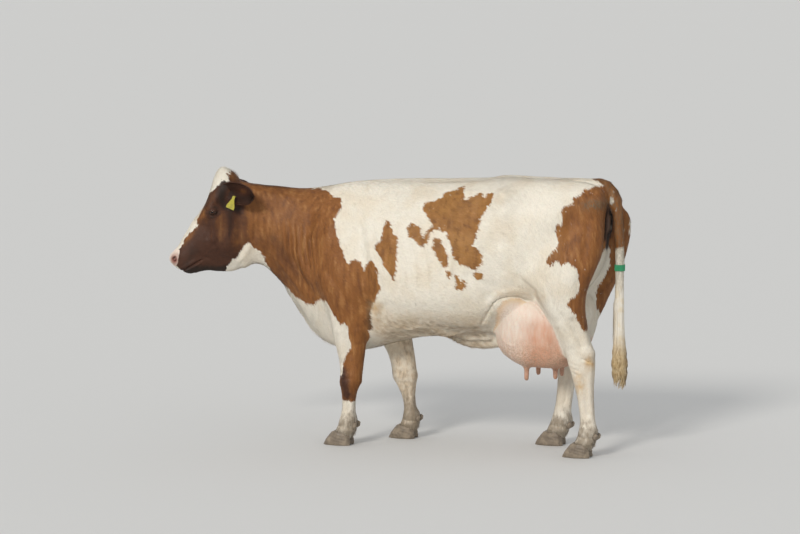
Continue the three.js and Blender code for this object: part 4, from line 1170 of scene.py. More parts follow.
def markings(skin):
    """What colours the skin and the coat, as values at each point."""
    points, node = skin.points, skin.node
    x, y, z = points.T
    down, out, left = in_head(points).T
    cheek = np.stack((down, out), axis=1)
    flat = points[:, (0, 2)]
    head = smooth_step(0, 1, skin.net.spread(on(node, "head").astype(float), 3))
    front = smooth_step(0.35, 0.8, skin.normals @ HEAD_OUT)
    base = 0.49 + 0.12 * smooth_step(0.26, 0.42, down) - 0.22 * smooth_step(0.06, 0.00, down)
    light = strokes_over(cheek, FACE_LIGHT)
    dark = np.maximum(strokes_over(cheek, FACE_DARK), base * (1 - light)) * (1 - 0.35 * light)
    # Painted light: the face is lighter where it faces forward, between the eyes and the muzzle.
    dark = dark * (1 - 0.45 * front * smooth_step(0.22, 0.30, down) * smooth_step(0.52, 0.46, down)) * head
    throat = strokes_over(flat, THROAT_DARK) * on(node, "neck")
    dark = np.maximum(dark, skin.net.spread(throat, 3))
    near_leg = on(node, *LEG_NODES["fore_left"], "trunk") & (y < 0)
    near_knee = strokes_over(flat, KNEE_DARK) * near_leg
    dark = np.maximum(dark, skin.net.spread(near_knee, 3))
    # Painted shade, with some dirt, in the gaps beside the tail's root.
    beside = np.exp(-((np.abs(y) - 0.045) / 0.020) ** 2)
    beside = beside * smooth_step(1.12, 1.18, z) * smooth_step(1.38, 1.32, z)
    dark = np.maximum(dark, 0.95 * beside * on(node, "trunk") * (x > 1.08))
    # The ears' own dark coat, with painted shade in their hollows and a painted patch of light, lit.
    lit = blob(flat, (-0.775, 1.378), (0.040, 0.022))
    ear_dark = 0.62 + 0.25 * skin.hollow + 0.12 * smooth_step(0.6, 1.0, np.abs(skin.ear)) - 0.55 * lit
    dark = np.where(skin.ear != 0, ear_dark, dark)
    lids = np.zeros(len(points))
    for hand in (1, -1):
        centre, axes = eye_axes(hand)
        lids = np.maximum(lids, blob((points - centre) @ axes.T, (0, 0, 0), (0.046, 0.030, 0.040)))
    dark = np.maximum.reduce((dark, skin.rim, 1.1 * lids))
    flank = on(node, "trunk") & (np.abs(y) > 0.10) & (x < 0.95)
    dome = smooth_step(-0.004, 0.008, inside_by(flat, UDDER_DOME)) * flank
    escutcheon = smooth_step(1.02, 1.10, x) * smooth_step(0.50, 0.72, z)
    udder = np.maximum(skin.net.spread(by_node(BARE, node), 6) * (1 - escutcheon), dome)
    pink = out - np.interp(down, *NOSE.T) + 0.002 * np.sin(90 * down) + 0.002 * np.sin(120 * left)
    nose = smooth_step(-0.002, 0.002, pink) * smooth_step(0.500, 0.512, down) * on(node, "head")
    nostrils = [np.exp(-(np.linalg.norm(points - centre, axis=1) / NOSTRIL_REACH) ** 2)
                for centre in NOSTRIL_CENTRES]
    behind = (x > 1.13) & ~on(node, "tail")
    # Under the tail, along the middle: its own dark skin, deepened by painted shade in the crease.
    vulva = np.exp(-(y / 0.038) ** 2) * smooth_step(1.06, 1.12, z) * smooth_step(1.39, 1.34, z) * behind
    pale = np.exp(-(y / 0.016) ** 2 - ((z - 1.215) / 0.022) ** 2) * behind
    hind_left, hind_right = (on(node, *LEG_NODES[leg]) for leg in ("hind_left", "hind_right"))
    outside = smooth_step(0.0, 0.5, np.abs(skin.normals[:, 1]))
    # Under the belly the coat is made darker with the stain and mud colours: partly dirt, partly painted
    # shade.
    belly = smooth_step(-0.10, 0.02, x) * smooth_step(0.66, 0.50, x) * smooth_step(0.80, 0.66, z)
    stain_and_shade = 0.55 * belly * (1 - udder)
    hocks = blob(flat, (1.180, 0.522), (0.026, 0.034)) + 0.8 * blob(flat, (1.120, 0.405), (0.024, 0.050))
    stain_and_shade += 1.15 * (hind_left | hind_right) * outside * hocks
    stain_and_shade += 0.20 * hind_left * smooth_step(0.62, 0.45, z)
    elbow = blob(flat, (0.000, 0.775), (0.042, 0.030)) + 0.6 * blob(flat, (-0.018, 0.69), (0.018, 0.05))
    stain_and_shade += 0.95 * elbow
    fold = smooth_step(0.80, 0.88, z) * smooth_step(0.93, 0.86, z) * smooth_step(0.62, 0.70, x) * (x < 0.95)
    stain_and_shade += 0.35 * fold
    # Salmon on the udder: its own skin colour, deepened by painted shade under the thigh's front edge and
    # towards the bottom.
    warmth = 0.42 * smooth_step(0.76, 0.46, z)
    warmth += 0.66 * smooth_step(0.74, 0.90, x) * smooth_step(0.82, 0.68, z)
    warmth += 0.5 * smooth_step(0.47, 0.45, z)
    dung = blob(flat, (1.185, 1.354), (0.062, 0.025)) * smooth_step(0.02, 0.06, np.abs(y))
    droppings = np.clip(dung + 0.5 * on(node, "tail") * smooth_step(0.90, 0.98, z), 0, 1)
    teats = udder * smooth_step(0.478, 0.458, z)
    # Painted shade, with some dirt, on the front of the udder's dome under the flank's fold.
    front_dome = blob(flat, (0.68, 0.72), 0.10)
    return {
        "root": points,
        "brown": brown_of(points, node, skin.ear),
        "dark": dark,
        "tawny": smooth_step(-0.15, 0.20, x) * smooth_step(1.12, 0.80, x),
        "flecked": smooth_step(-0.15, 0.20, x),
        "bare": np.clip(np.maximum.reduce((udder, nose, 0.9 * vulva)), 0, 1),
        "warm": np.clip(udder * warmth, 0, 1),
        "grime_and_shade": np.clip(udder * smooth_step(0.66, 0.50, z) + 0.5 * dome * front_dome, 0, 1),
        # yellow: a tan band along the top of the udder under the flank's fold, painted shade.
        "yellow": np.clip(0.75 * dome * smooth_step(0.045, 0.004, inside_by(flat, UDDER_DOME)), 0, 1),
        # deep: the nostrils' own dark red lining with painted shade at their bottom, painted shade in the
        # ears' hollows, and a little of the teats' own colour.
        "deep": np.clip(np.max(nostrils, axis=0) * 1.1 + 0.8 * np.clip(skin.hollow, 0, 1)
                        + 0.16 * teats, 0, 1),
        "crease_dark_and_shade": np.clip(1.6 * vulva - 1.3 * pale, 0, 1),
        "stain_and_shade": np.clip(stain_and_shade, 0, 1),
        "mud_and_shade": np.clip(smooth_step(0.30, 0.09, z) * 0.95 + 0.46 * belly * (1 - udder), 0, 1),
        "droppings": droppings,
    }


MARKS = markings(SKIN)
for mark, values in MARKS.items():
    set_values(SKIN.mesh, mark, values)


# ---------------------------------------------------------------- coat
# How the hair leans on the trunk, back from straight down, by X.
TRUNK_LEAN = np.array([(-0.75, 0.80), (-0.50, 0.60), (-0.30, 0.55), (-0.10, 0.85), (0.20, 1.10), (0.60, 1.12),
                       (0.85, 0.75), (1.00, 0.40), (1.15, 0.10), (1.30, 0.0)])
WHORL = 0.165  # down the face
# Each part's length of hair, its width, and how much it stands up.
HAIR = {"trunk": (0.018, 0.0030, 0.13), "neck": (0.018, 0.0028, 0.14), "head": (0.0095, 0.0018, 0.16),
        "udder": (0.009, 0.0019, 0.18), "tail": (0.018, 0.0024, 0.15), "teat": (0.004, 0.0010, 0.1),
        "eye": (0.004, 0.0010, 0.1), "leg": (0.015, 0.0026, 0.13), "shank": (0.010, 0.0020, 0.16),
        "cannon": (0.010, 0.0020, 0.16)}


BODY_KINDS = np.array([kind_of(name) for name in NODE_NAMES])[SKIN.node]
LEG_KINDS = ("leg", "shank", "cannon")


def lie_of_coat(skin):
    """Which way the hair lies at each point."""
    points, normals = skin.points, skin.normals
    x, y, z = points.T
    lean = np.interp(x, TRUNK_LEAN[:, 0], TRUNK_LEAN[:, 1])
    top = np.clip(normals[:, 2], 0, 1) ** 2
    under = smooth_step(0.35, 0.85, -normals[:, 2])[:, None]
    lie = np.stack((np.sin(lean) + 0.6 * top, 0.55 * top * np.sign(y), -np.cos(lean)), axis=1)
    lie = lie * (1 - under) + under * np.array((1.0, 0.0, -0.1))
    down, _, left = in_head(points).T
    front = smooth_step(0.25, 0.75, normals @ HEAD_OUT)[:, None]
    jaw = smooth_step(0.3, 0.8, -normals @ HEAD_OUT)[:, None]
    away = np.clip((down - WHORL) / 0.06, -1, 1)[:, None]
    aside = np.clip(left / 0.05, -1, 1)[:, None]
    muzzle = smooth_step(0.36, 0.50, down)[:, None]
    brow = away * HEAD_DOWN + 0.45 * aside * HEAD_LEFT
    cheek = (0.45 + 0.6 * muzzle) * HEAD_DOWN - (0.9 - 0.6 * muzzle) * HEAD_OUT
    face = front * brow + (1 - front) * ((1 - jaw) * cheek - jaw * HEAD_DOWN)
    neck = np.array((0.72, 0.0, -0.62)) + 0.3 * top[:, None] * X_AXIS
    places = [(BODY_KINDS == "head", face), (BODY_KINDS == "neck", neck),
              (np.isin(BODY_KINDS, LEG_KINDS) & (z < 0.80), (0.10, 0.0, -1.0)),
              ((BODY_KINDS == "tail") & (x > 1.24), (0.02, 0.0, -1.0))]
    for test, way in places + [(skin.ear * hand > 0, ear_axes(hand)[1]) for hand in (1, -1)]:
        lie = np.where(test[:, None], way, lie)
    lie = skin.net.spread(unit(lie), 8)
    sway = 0.16 * np.sin(13 * x + 5 * z + 2 * y) + 0.12 * np.sin(29 * z - 17 * x + 3)
    lie = unit(lie - (lie * normals).sum(1, keepdims=True) * normals)
    return unit(lie + sway[:, None] * np.cross(normals, lie))


def hair_sizes(skin):
    """The hair's length, width and lift at each point, and how densely it grows."""
    x, y, z = skin.points.T
    down, out, left = in_head(skin.points).T
    sizes = np.stack([by_node({kind: row[i] for kind, row in HAIR.items()}, skin.node) for i in range(3)])
    sizes = np.stack([skin.net.spread(row, 22) for row in sizes])
    length, width, lift = sizes
    poll = np.exp(-(((down - 0.015) / 0.045) ** 2 + ((out + 0.045) / 0.05) ** 2 + (left / 0.06) ** 2))
    muzzle = on(skin.node, "head") * smooth_step(0.42, 0.52, down)
    brisket = smooth_step(-0.30, -0.42, x) * smooth_step(0.80, 0.66, z)
    midline = np.exp(-(y / 0.04) ** 2) * smooth_step(0.5, 0.9, -skin.normals[:, 2]) * (x < 0.65)
    heel = smooth_step(0.20, 0.15, z) * smooth_step(0.2, 0.7, skin.normals[:, 0])
    crown = smooth_step(0.100, 0.080, z)
    long = 1 + 1.9 * poll + 0.5 * brisket + 0.6 * midline + 0.5 * heel + 0.4 * crown
    length = length * long * (1 - 0.45 * muzzle)
    width = width * (1 + 0.15 * poll) * (1 - 0.25 * muzzle)
    lift = lift + 0.32 * poll + 0.06 * brisket + 0.10 * midline + 0.16 * heel + 0.12 * crown
    dense = (1 - smooth_step(0.25, 0.75, MARKS["bare"])) * (1 - skin.rim) / (length * width)
    eyes = np.min([np.linalg.norm(skin.points - centre, axis=1) for centre in EYE_CENTRES], axis=0)
    dense = dense * smooth_step(0.021, 0.030, eyes) * (1 - 0.35 * np.clip(skin.hollow, 0, 1))
    length = np.where(skin.ear != 0, 0.0100 + 0.006 * skin.hollow, length)
    lift = np.where(skin.ear != 0, 0.22 + 0.35 * skin.hollow, lift)
    return length, width, lift, dense


LIE = lie_of_coat(SKIN)
LENGTH, WIDTH, LIFT, DENSE = hair_sizes(SKIN)


class Roots:
    """Places on the skin where hair grows, spread evenly by the weight of each triangle."""

    def __init__(self, skin, chosen, dense, count):
        triangles = skin.triangles[chosen]
        a, b, c = (skin.points[triangles[:, i]] for i in range(3))
        weight = np.linalg.norm(np.cross(b - a, c - a), axis=1) * dense[triangles].mean(axis=1)
        total = np.cumsum(weight)
        places = (np.arange(count) + RANDOM.random(count)) / count * total[-1]
        self.corners = triangles[np.minimum(np.searchsorted(total, places), len(triangles) - 1)]
        first, second = np.sqrt(RANDOM.random(count)), RANDOM.random(count)
        self.shares = np.stack((1 - first, first * (1 - second), first * second), axis=1)

    def at(self, values):
        picked = values[self.corners]
        return (picked * (self.shares if values.ndim == 1 else self.shares[..., None])).sum(axis=1)


# A tuft: its place along and across, and how high, for each of its points.
TUFT_ALONG = np.array((0.0, 0.0, 0.52, 0.52, 1.0))
TUFT_ACROSS = np.array((-0.5, 0.5, -0.42, 0.42, 0.0))
TUFT_RISE = np.array((-0.04, -0.04, 0.62, 0.62, 0.92))
TUFT_FACES = np.array(((0, 2, 1), (1, 2, 3), (2, 4, 3)))
TUFT_POINTS = len(TUFT_ALONG)
ROOT_DEPTH = 0.0004  # how far under the skin a tuft starts
PATCH = 0.0015  # half a tuft's patch on the unwrap


def set_bake_map(mesh, spots, faces):
    """Gives the mesh its OFBake map, from the place of each point on it."""
    corners = spots.reshape(-1, 2)[faces.ravel()].astype(np.float32)
    mesh.uv_layers.new(name="OFBake").uv.foreach_set("vector", corners.ravel())


def tuft_mesh(name, roots, points, normals, lie, length, width, lift, unwrap):
    """One mesh of tufts on the roots, with what each carries from the skin."""
    count = len(points)
    across = unit(np.cross(normals, lie))
    turn = RANDOM.normal(0, 0.16, count)
    lie = unit(lie + turn[:, None] * across)
    across = np.cross(normals, lie)
    curl = RANDOM.normal(0, 0.10, count)
    reach = (length * (0.70 + 0.60 * RANDOM.random(count)))[:, None]
    rise = (lift * (0.6 + 0.8 * RANDOM.random(count)))[:, None]
    wide = (width * (0.75 + 0.5 * RANDOM.random(count)))[:, None]
    along = reach * TUFT_ALONG
    aside = wide * TUFT_ACROSS + curl[:, None] * reach * TUFT_ALONG ** 2
    above = reach * rise * TUFT_RISE - ROOT_DEPTH
    places = (points[:, None] + along[..., None] * lie[:, None] + aside[..., None] * across[:, None]
              + above[..., None] * normals[:, None])
    faces = (np.arange(count)[:, None, None] * TUFT_POINTS + TUFT_FACES).reshape(-1, 3)
    mesh = mesh_of(name, places.reshape(-1, 3) + ORIGIN, faces)
    shade_smooth(mesh)
    tilt = RANDOM.normal(0, 0.13, count)[:, None] * across + RANDOM.normal(0, 0.07, count)[:, None] * lie
    set_values(mesh, "custom_normal", np.repeat(unit(normals + tilt), TUFT_POINTS, axis=0))
    for mark, values in MARKS.items():
        set_values(mesh, mark, np.repeat(roots.at(values), TUFT_POINTS, axis=0))
    set_values(mesh, "along", np.tile(TUFT_ALONG, count))
    set_values(mesh, "hair", np.repeat(RANDOM.random(count), TUFT_POINTS))
    spots = unwrap[:, None] + PATCH * np.stack((2 * TUFT_ACROSS, 2 * TUFT_ALONG - 1), axis=1)
    set_bake_map(mesh, spots, faces)
    return mesh


def round_axis(points, origin, axis, first):
    """How far along an axis each point is, and its turn about it, from 0 to 1."""
    away = points - origin
    third = np.cross(axis, first)
    return away @ axis, np.arctan2(away @ third, away @ first) / (2 * np.pi) + 0.5


def cell(along, turn, low, high, row, rows):
    """The place on the unwrap, in one of several rows."""
    return np.stack((0.01 + 0.98 * np.clip((along - low) / (high - low), 0, 1),
                     (row + 0.04 + 0.92 * turn) / rows), axis=1)


# Each unwrap takes the points and how far along an ear they are, which only the head's needs.
def unwrap_body(points, ear):
    return cell(*round_axis(points, (0, 0, 0.98), X_AXIS, UP), -0.75, 1.30, 0, 1)


def unwrap_neck(points, ear):
    axis = unit((1.0, 0.12, -0.35))
    around = unit(np.cross(axis, Y_AXIS))
    return cell(*round_axis(points, (-0.85, -0.08, 1.22), axis, around), -0.1, 0.7, 0, 1)


def unwrap_head(points, ear):
    spots = cell(*round_axis(points, from_head(0, -0.14, 0), HEAD_DOWN, -HEAD_OUT), -0.1, 0.68, 0, 1.4)
    for hand, row in ((1, 5), (-1, 6)):
        origin, axis, opening, _ = ear_axes(hand)
        leaf = cell(*round_axis(points, origin, axis, opening), -0.03, 0.21, row, 7)
        spots = np.where((ear * hand > 0)[:, None], leaf, spots)
    return spots


def unwrap_legs(points, ear):
    spots = np.zeros((len(points), 2))
    for row, (front, side) in enumerate((f, s) for f in (False, True) for s in (False, True)):
        mine = ((points[:, 0] > 0.4) == front) & ((points[:, 1] > 0) == side)
        if mine.any():
            centre = points[mine].mean(axis=0) * (1, 1, 0)
            spots[mine] = cell(*round_axis(points[mine], centre, UP, X_AXIS), 0.0, 1.45, row, 4)
    return spots


def unwrap_tail(points, ear):
    return cell(*round_axis(points, (1.265, 0, 0), UP, X_AXIS), 0.6, 1.45, 0, 1)


ON_FORE = on(SKIN.node, *LEG_NODES["fore_left"], *LEG_NODES["fore_right"])


def region(test):
    """The triangles whose points mostly pass."""
    return test[SKIN.triangles].sum(axis=1) >= 2


TRUNK = np.isin(BODY_KINDS, ("trunk", "udder", "teat"))
COATS = {
    "coat_head": (np.isin(BODY_KINDS, ("head", "eye")), 64000, unwrap_head, "coat_brown"),
    "coat_neck": (BODY_KINDS == "neck", 52000, unwrap_neck, "coat_brown"),
    "coat_left": (TRUNK & (SKIN.points[:, 1] < 0), 65000, unwrap_body, "coat_white"),
    "coat_right": (TRUNK & (SKIN.points[:, 1] >= 0), 65000, unwrap_body, "coat_white"),
    "coat_forelegs": (np.isin(BODY_KINDS, LEG_KINDS) & ON_FORE, 56000, unwrap_legs, "coat_white"),
    "coat_hindlegs": (np.isin(BODY_KINDS, LEG_KINDS) & ~ON_FORE, 65000, unwrap_legs, "coat_white"),
    "coat_tail": (BODY_KINDS == "tail", 16000, unwrap_tail, "coat_white"),
}


def coat_piece(name, test, count, unwrap):
    roots = Roots(SKIN, region(test), DENSE, count)
    points, normals = roots.at(SKIN.points), unit(roots.at(SKIN.normals))
    lie = roots.at(LIE)
    lie = unit(lie - (lie * normals).sum(1, keepdims=True) * normals)
    spots = unwrap(points, roots.at(SKIN.ear))
    sizes = [roots.at(values) for values in (LENGTH, WIDTH, LIFT)]
    mesh = tuft_mesh(name, roots, points, normals, lie, *sizes, spots)
    piece = new_object(name, mesh)
    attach(piece, "root")
    return piece


# ---------------------------------------------------------------- materials
def paint(red, green, blue):
    """A colour given as on a paint card, 0 to 255, in the renderer's own linear values."""
    return tuple(float(((v / 255 + 0.055) / 1.055) ** 2.4) for v in (red, green, blue))


class Graph:
    """A material's nodes, made by short calls."""

    def __init__(self, name):
        self.material = bpy.data.materials.new(name)
        self.material.use_nodes = True
        self.tree = self.material.node_tree
        self.shader = self.tree.nodes["Principled BSDF"]

    def put(self, socket, value):
        if isinstance(value, bpy.types.NodeSocket):
            self.tree.links.new(value, socket)
        elif socket.type == "RGBA":
            socket.default_value = (*value, 1)
        else:
            socket.default_value = value

    def add(self, kind, inputs, output=0, **settings):
        node = self.tree.nodes.new(kind)
        for name, value in settings.items():
            setattr(node, name, value)
        for place, value in inputs.items():
            self.put(node.inputs[place], value)
        return node.outputs[output]

    def value(self, name):
        return self.add("ShaderNodeAttribute", {}, "Fac", attribute_name=name)

    def vector(self, name):
        return self.add("ShaderNodeAttribute", {}, "Vector", attribute_name=name)

    def math(self, operation, a, b=0.0, c=0.0):
        return self.add("ShaderNodeMath", {0: a, 1: b, 2: c}, operation=operation)

    def mix(self, share, a, b, blend="MIX"):
        return self.add("ShaderNodeMix", {0: share, 6: a, 7: b}, 2, data_type="RGBA", blend_type=blend)

    def noise(self, place, scale, detail=2.0):
        return self.add("ShaderNodeTexNoise", {"Vector": place, "Scale": scale, "Detail": detail}, "Fac")

    def stretched(self, place, scale):
        return self.add("ShaderNodeMapping", {"Vector": place, "Scale": scale})

    def step(self, value, low, high, start=0.0, end=1.0):
        inputs = {"Value": value, "From Min": low, "From Max": high, "To Min": start, "To Max": end}
        return self.add("ShaderNodeMapRange", inputs, interpolation_type="SMOOTHSTEP")

    def over(self, under, colour, value, low, high, most=1.0):
        """Lays a colour over another where the value rises from low to high."""
        return self.mix(self.step(value, low, high, 0.0, most), under, colour)

    def blunt(self, value, half):
        """How far out a value is, for the sum that draws an oval with blunt ends."""
        return self.math("POWER", self.math("ABSOLUTE", self.math("DIVIDE", value, half)), 2.6)

    def bump(self, height, strength, distance):
        normal = self.add("ShaderNodeBump", {"Height": height, "Strength": strength, "Distance": distance})
        self.put(self.shader.inputs["Normal"], normal)

    def finish(self, colour, roughness, **sockets):
        self.put(self.shader.inputs["Base Color"], colour)
        self.put(self.shader.inputs["Roughness"], roughness)
        for name, value in sockets.items():
            self.put(self.shader.inputs[name.replace("_", " ")], value)
        return self.material


CHESTNUT = paint(144, 92, 45)
TAWNY = paint(162, 115, 60)
FACE_BROWN = paint(75, 44, 28)
FACE_BLACK = paint(38, 26, 17)
CREAM = paint(232, 225, 211)
WARM_CREAM = paint(223, 210, 188)
TAN_STAIN_AND_SHADE = paint(206, 172, 124)
MUD = paint(164, 149, 129)
PALE_PINK = paint(222, 207, 192)
SALMON = paint(200, 148, 120)
DEEP_RED = paint(142, 76, 60)
UNDER_TAIL_DARK_AND_SHADE = paint(46, 37, 33)


def animal_colour(graph, tuft):
    """The markings, on the skin or on its tufts."""
    place = graph.vector("root")
    broad, middle, fine = graph.noise(place, 7), graph.noise(place, 38), graph.noise(place, 130)
    ragged = graph.math("MULTIPLY_ADD", graph.math("SUBTRACT", middle, 0.5), 0.030, graph.value("brown"))
    ragged = graph.math("MULTIPLY_ADD", graph.math("SUBTRACT", fine, 0.5), 0.012, ragged)
    # white flecks near the edges of the patches
    fleck = graph.math("MULTIPLY", graph.step(graph.noise(place, 62, 1.0), 0.735, 0.75), -0.04)
    near_edge = graph.step(graph.value("brown"), 0.075, 0.05)
    fleck = graph.math("MULTIPLY", fleck, graph.value("flecked"))
    on_brown = graph.step(graph.math("MULTIPLY_ADD", fleck, near_edge, ragged), -0.001, 0.001)
    brown = graph.mix(graph.value("tawny"), CHESTNUT, TAWNY)
    brown = graph.over(brown, paint(124, 76, 38), broad, 0.35, 0.65, 0.35)
    streak = graph.noise(graph.stretched(place, (1.0, 1.0, 0.16)), 52, 3.0)
    brown = graph.over(brown, paint(104, 62, 33), streak, 0.50, 0.30, 0.60)
    brown = graph.over(brown, paint(184, 132, 78), streak, 0.52, 0.72, 0.52)
    # dark is partly the darker coat of the face, neck and ears and partly painted shade: under the ears,
    # along the jaw and throat, in the ears' hollows and beside the tail.
    dark = graph.math("ADD", graph.value("dark"), graph.math("MULTIPLY_ADD", middle, 0.24, -0.12))
    brown = graph.over(brown, FACE_BROWN, dark, 0.08, 0.60)
    brown = graph.over(brown, FACE_BLACK, dark, 0.55, 1.10)
    white = graph.over(CREAM, WARM_CREAM, broad, 0.40, 0.70, 0.6)
    white = graph.over(white, paint(206, 190, 166), fine, 0.55, 0.80, 0.22)
    colour = graph.mix(on_brown, white, brown)
    # Stains and mud are the coat's own, but under the belly the same colours are partly painted shade.
    stain_and_shade = graph.math("MULTIPLY", graph.value("stain_and_shade"), graph.step(middle, 0.25, 0.70, 0.4, 1.2))
    colour = graph.mix(graph.math("MULTIPLY", stain_and_shade, 0.8), colour, TAN_STAIN_AND_SHADE)
    speck = graph.math("MULTIPLY_ADD", graph.noise(graph.stretched(place, (1, 1, 0.35)), 90), 1.1, middle)
    mud_and_shade = graph.math("ADD", graph.value("mud_and_shade"), graph.math("MULTIPLY_ADD", speck, 1.0, -1.30))
    muddy = graph.step(mud_and_shade, 0.05, 0.75, 0.0, 0.85)
    colour = graph.mix(muddy, colour, graph.mix(fine, MUD, paint(132, 117, 99)))
    droppings = graph.value("droppings")
    drops = graph.math("MULTIPLY", droppings, graph.step(graph.noise(place, 150, 2.0), 0.45, 0.54))
    colour = graph.mix(graph.math("MULTIPLY", drops, 0.9), colour, paint(112, 106, 88))
    if tuft:
        along = graph.step(graph.value("along"), 0.0, 0.9, 0.90, 1.04)
        tone = graph.math("MULTIPLY", along, graph.step(graph.value("hair"), 0.0, 1.0, 0.93, 1.05))
        grey = graph.add("ShaderNodeCombineColor", {0: tone, 1: tone, 2: tone})
        colour = graph.mix(1.0, colour, grey, "MULTIPLY")
    veined = graph.noise(graph.stretched(place, (1.0, 1.0, 0.25)), 60, 3.0)
    warm = graph.math("MULTIPLY_ADD", graph.math("SUBTRACT", veined, 0.5), 0.8, graph.value("warm"))
    flesh = graph.mix(warm, PALE_PINK, SALMON)
    flesh = graph.over(flesh, paint(222, 194, 172), broad, 0.45, 0.75, 0.35)
    flesh = graph.over(flesh, paint(206, 158, 136), fine, 0.50, 0.75, 0.20)
    # Darker towards the udder's bottom and on the front of its dome: partly dirt, partly painted shade.
    grime_and_shade = graph.math("MULTIPLY", graph.value("grime_and_shade"), graph.step(graph.noise(place, 120, 4.0), 0.34, 0.74))
    flesh = graph.mix(graph.math("MULTIPLY", grime_and_shade, 0.95), flesh, paint(164, 134, 110))
    # Painted shade: a tan band under the edge of the flank's fold.
    flesh = graph.mix(graph.value("yellow"), flesh, paint(220, 188, 146))
    # The dark skin under the tail, with painted shade in its crease.
    flesh = graph.mix(graph.value("crease_dark_and_shade"), flesh, UNDER_TAIL_DARK_AND_SHADE)
    flesh = graph.mix(graph.value("deep"), flesh, DEEP_RED)
    return graph.over(colour, flesh, graph.value("bare"), 0.30, 0.70)


def skin_material():
    graph = Graph("hide")
    place = graph.vector("root")
    colour = animal_colour(graph, False)
    # Painted shade: darker in the ears' hollows and near black at the bottom of the nostrils.
    colour = graph.mix(graph.math("MULTIPLY", graph.value("deep"), 0.4), colour, paint(70, 36, 30))
    colour = graph.over(colour, paint(38, 18, 15), graph.value("deep"), 0.90, 1.0, 0.9)
    hair = graph.noise(graph.stretched(place, (0.5, 1.0, 0.30)), 620, 3.0)
    wrinkle = graph.noise(graph.stretched(place, (1.0, 1.0, 0.22)), 130, 4.0)
    pores = graph.noise(place, 420, 2.0)
    flesh = graph.math("MULTIPLY_ADD", pores, 0.25, wrinkle)
    height = graph.add("ShaderNodeMix", {0: graph.value("bare"), 2: hair, 3: flesh}, 0, data_type="FLOAT")
    graph.bump(height, 0.55, 0.0022)
    roughness = graph.step(graph.value("bare"), 0.2, 0.8, 0.72, 0.48)
    roughness = graph.math("MULTIPLY_ADD", graph.value("crease_dark_and_shade"), 0.40, roughness)
    return graph.finish(colour, roughness, Specular_IOR_Level=0.35, Subsurface_Weight=0.06,
                        Subsurface_Scale=0.01)


def coat_material():
    graph = Graph("coat")
    colour = animal_colour(graph, True)
    return graph.finish(colour, 0.52, Specular_IOR_Level=0.32, Sheen_Weight=0.04)


HIDE = skin_material()
COAT = coat_material()

skin = new_object("skin", SKIN.mesh)
SKIN.mesh.materials.append(HIDE)
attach(skin, "root")
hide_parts(*FLESH, "ear_left", "ear_right")

for name, (test, count, unwrap, slot) in COATS.items():
    coat_piece(name, test, count, unwrap).data.materials.append(COAT)


# ---------------------------------------------------------------- locks of long hair
def lock_mesh(name, paths, widths, normals, extra, spots):
    """Ribbons along many paths, each an array of points; extra holds a value for each lock and point,
    and spots each lock's place on the unwrap."""
    count, steps = paths.shape[:2]
    ahead = unit(np.gradient(paths, axis=1))
    across = unit(np.cross(normals, ahead))
    half = widths[..., None] * across / 2
    places = np.stack((paths - half, paths + half), axis=2).reshape(-1, 3)
    index = np.arange(count * steps * 2).reshape(count, steps, 2)
    a, b = index[:, :-1, 0].ravel(), index[:, :-1, 1].ravel()
    c, d = index[:, 1:, 1].ravel(), index[:, 1:, 0].ravel()
    faces = np.stack((a, d, c, b), axis=1)
    mesh = mesh_of(name, places + ORIGIN, faces)
    shade_smooth(mesh)
    set_values(mesh, "custom_normal", np.repeat(unit(normals), 2, axis=1).reshape(-1, 3))
    for mark, values in extra.items():
        values = np.repeat(values, 2, axis=1)
        set_values(mesh, mark, values.reshape(-1, values.shape[-1]) if values.ndim == 3 else values.ravel())
    patch = np.stack(np.meshgrid(np.linspace(-1, 1, steps), (-1, 1), indexing="ij"), axis=2)
    set_bake_map(mesh, spots[:, None, None] + PATCH * patch, faces)
    return mesh


SWITCH_LOCKS = 3400
SWITCH_STEPS = 14
SWITCH_BUNCHES = 23
# How far from the tail's middle its hair reaches, by height: to the side, and fore and aft.
SWITCH_SPREAD = np.array([(0.336, 0.026, 0.020), (0.370, 0.038, 0.030), (0.410, 0.044, 0.036),
                          (0.470, 0.047, 0.040), (0.540, 0.041, 0.036), (0.620, 0.031, 0.029),
                          (0.720, 0.0255, 0.0245), (0.980, 0.0235, 0.0225)])


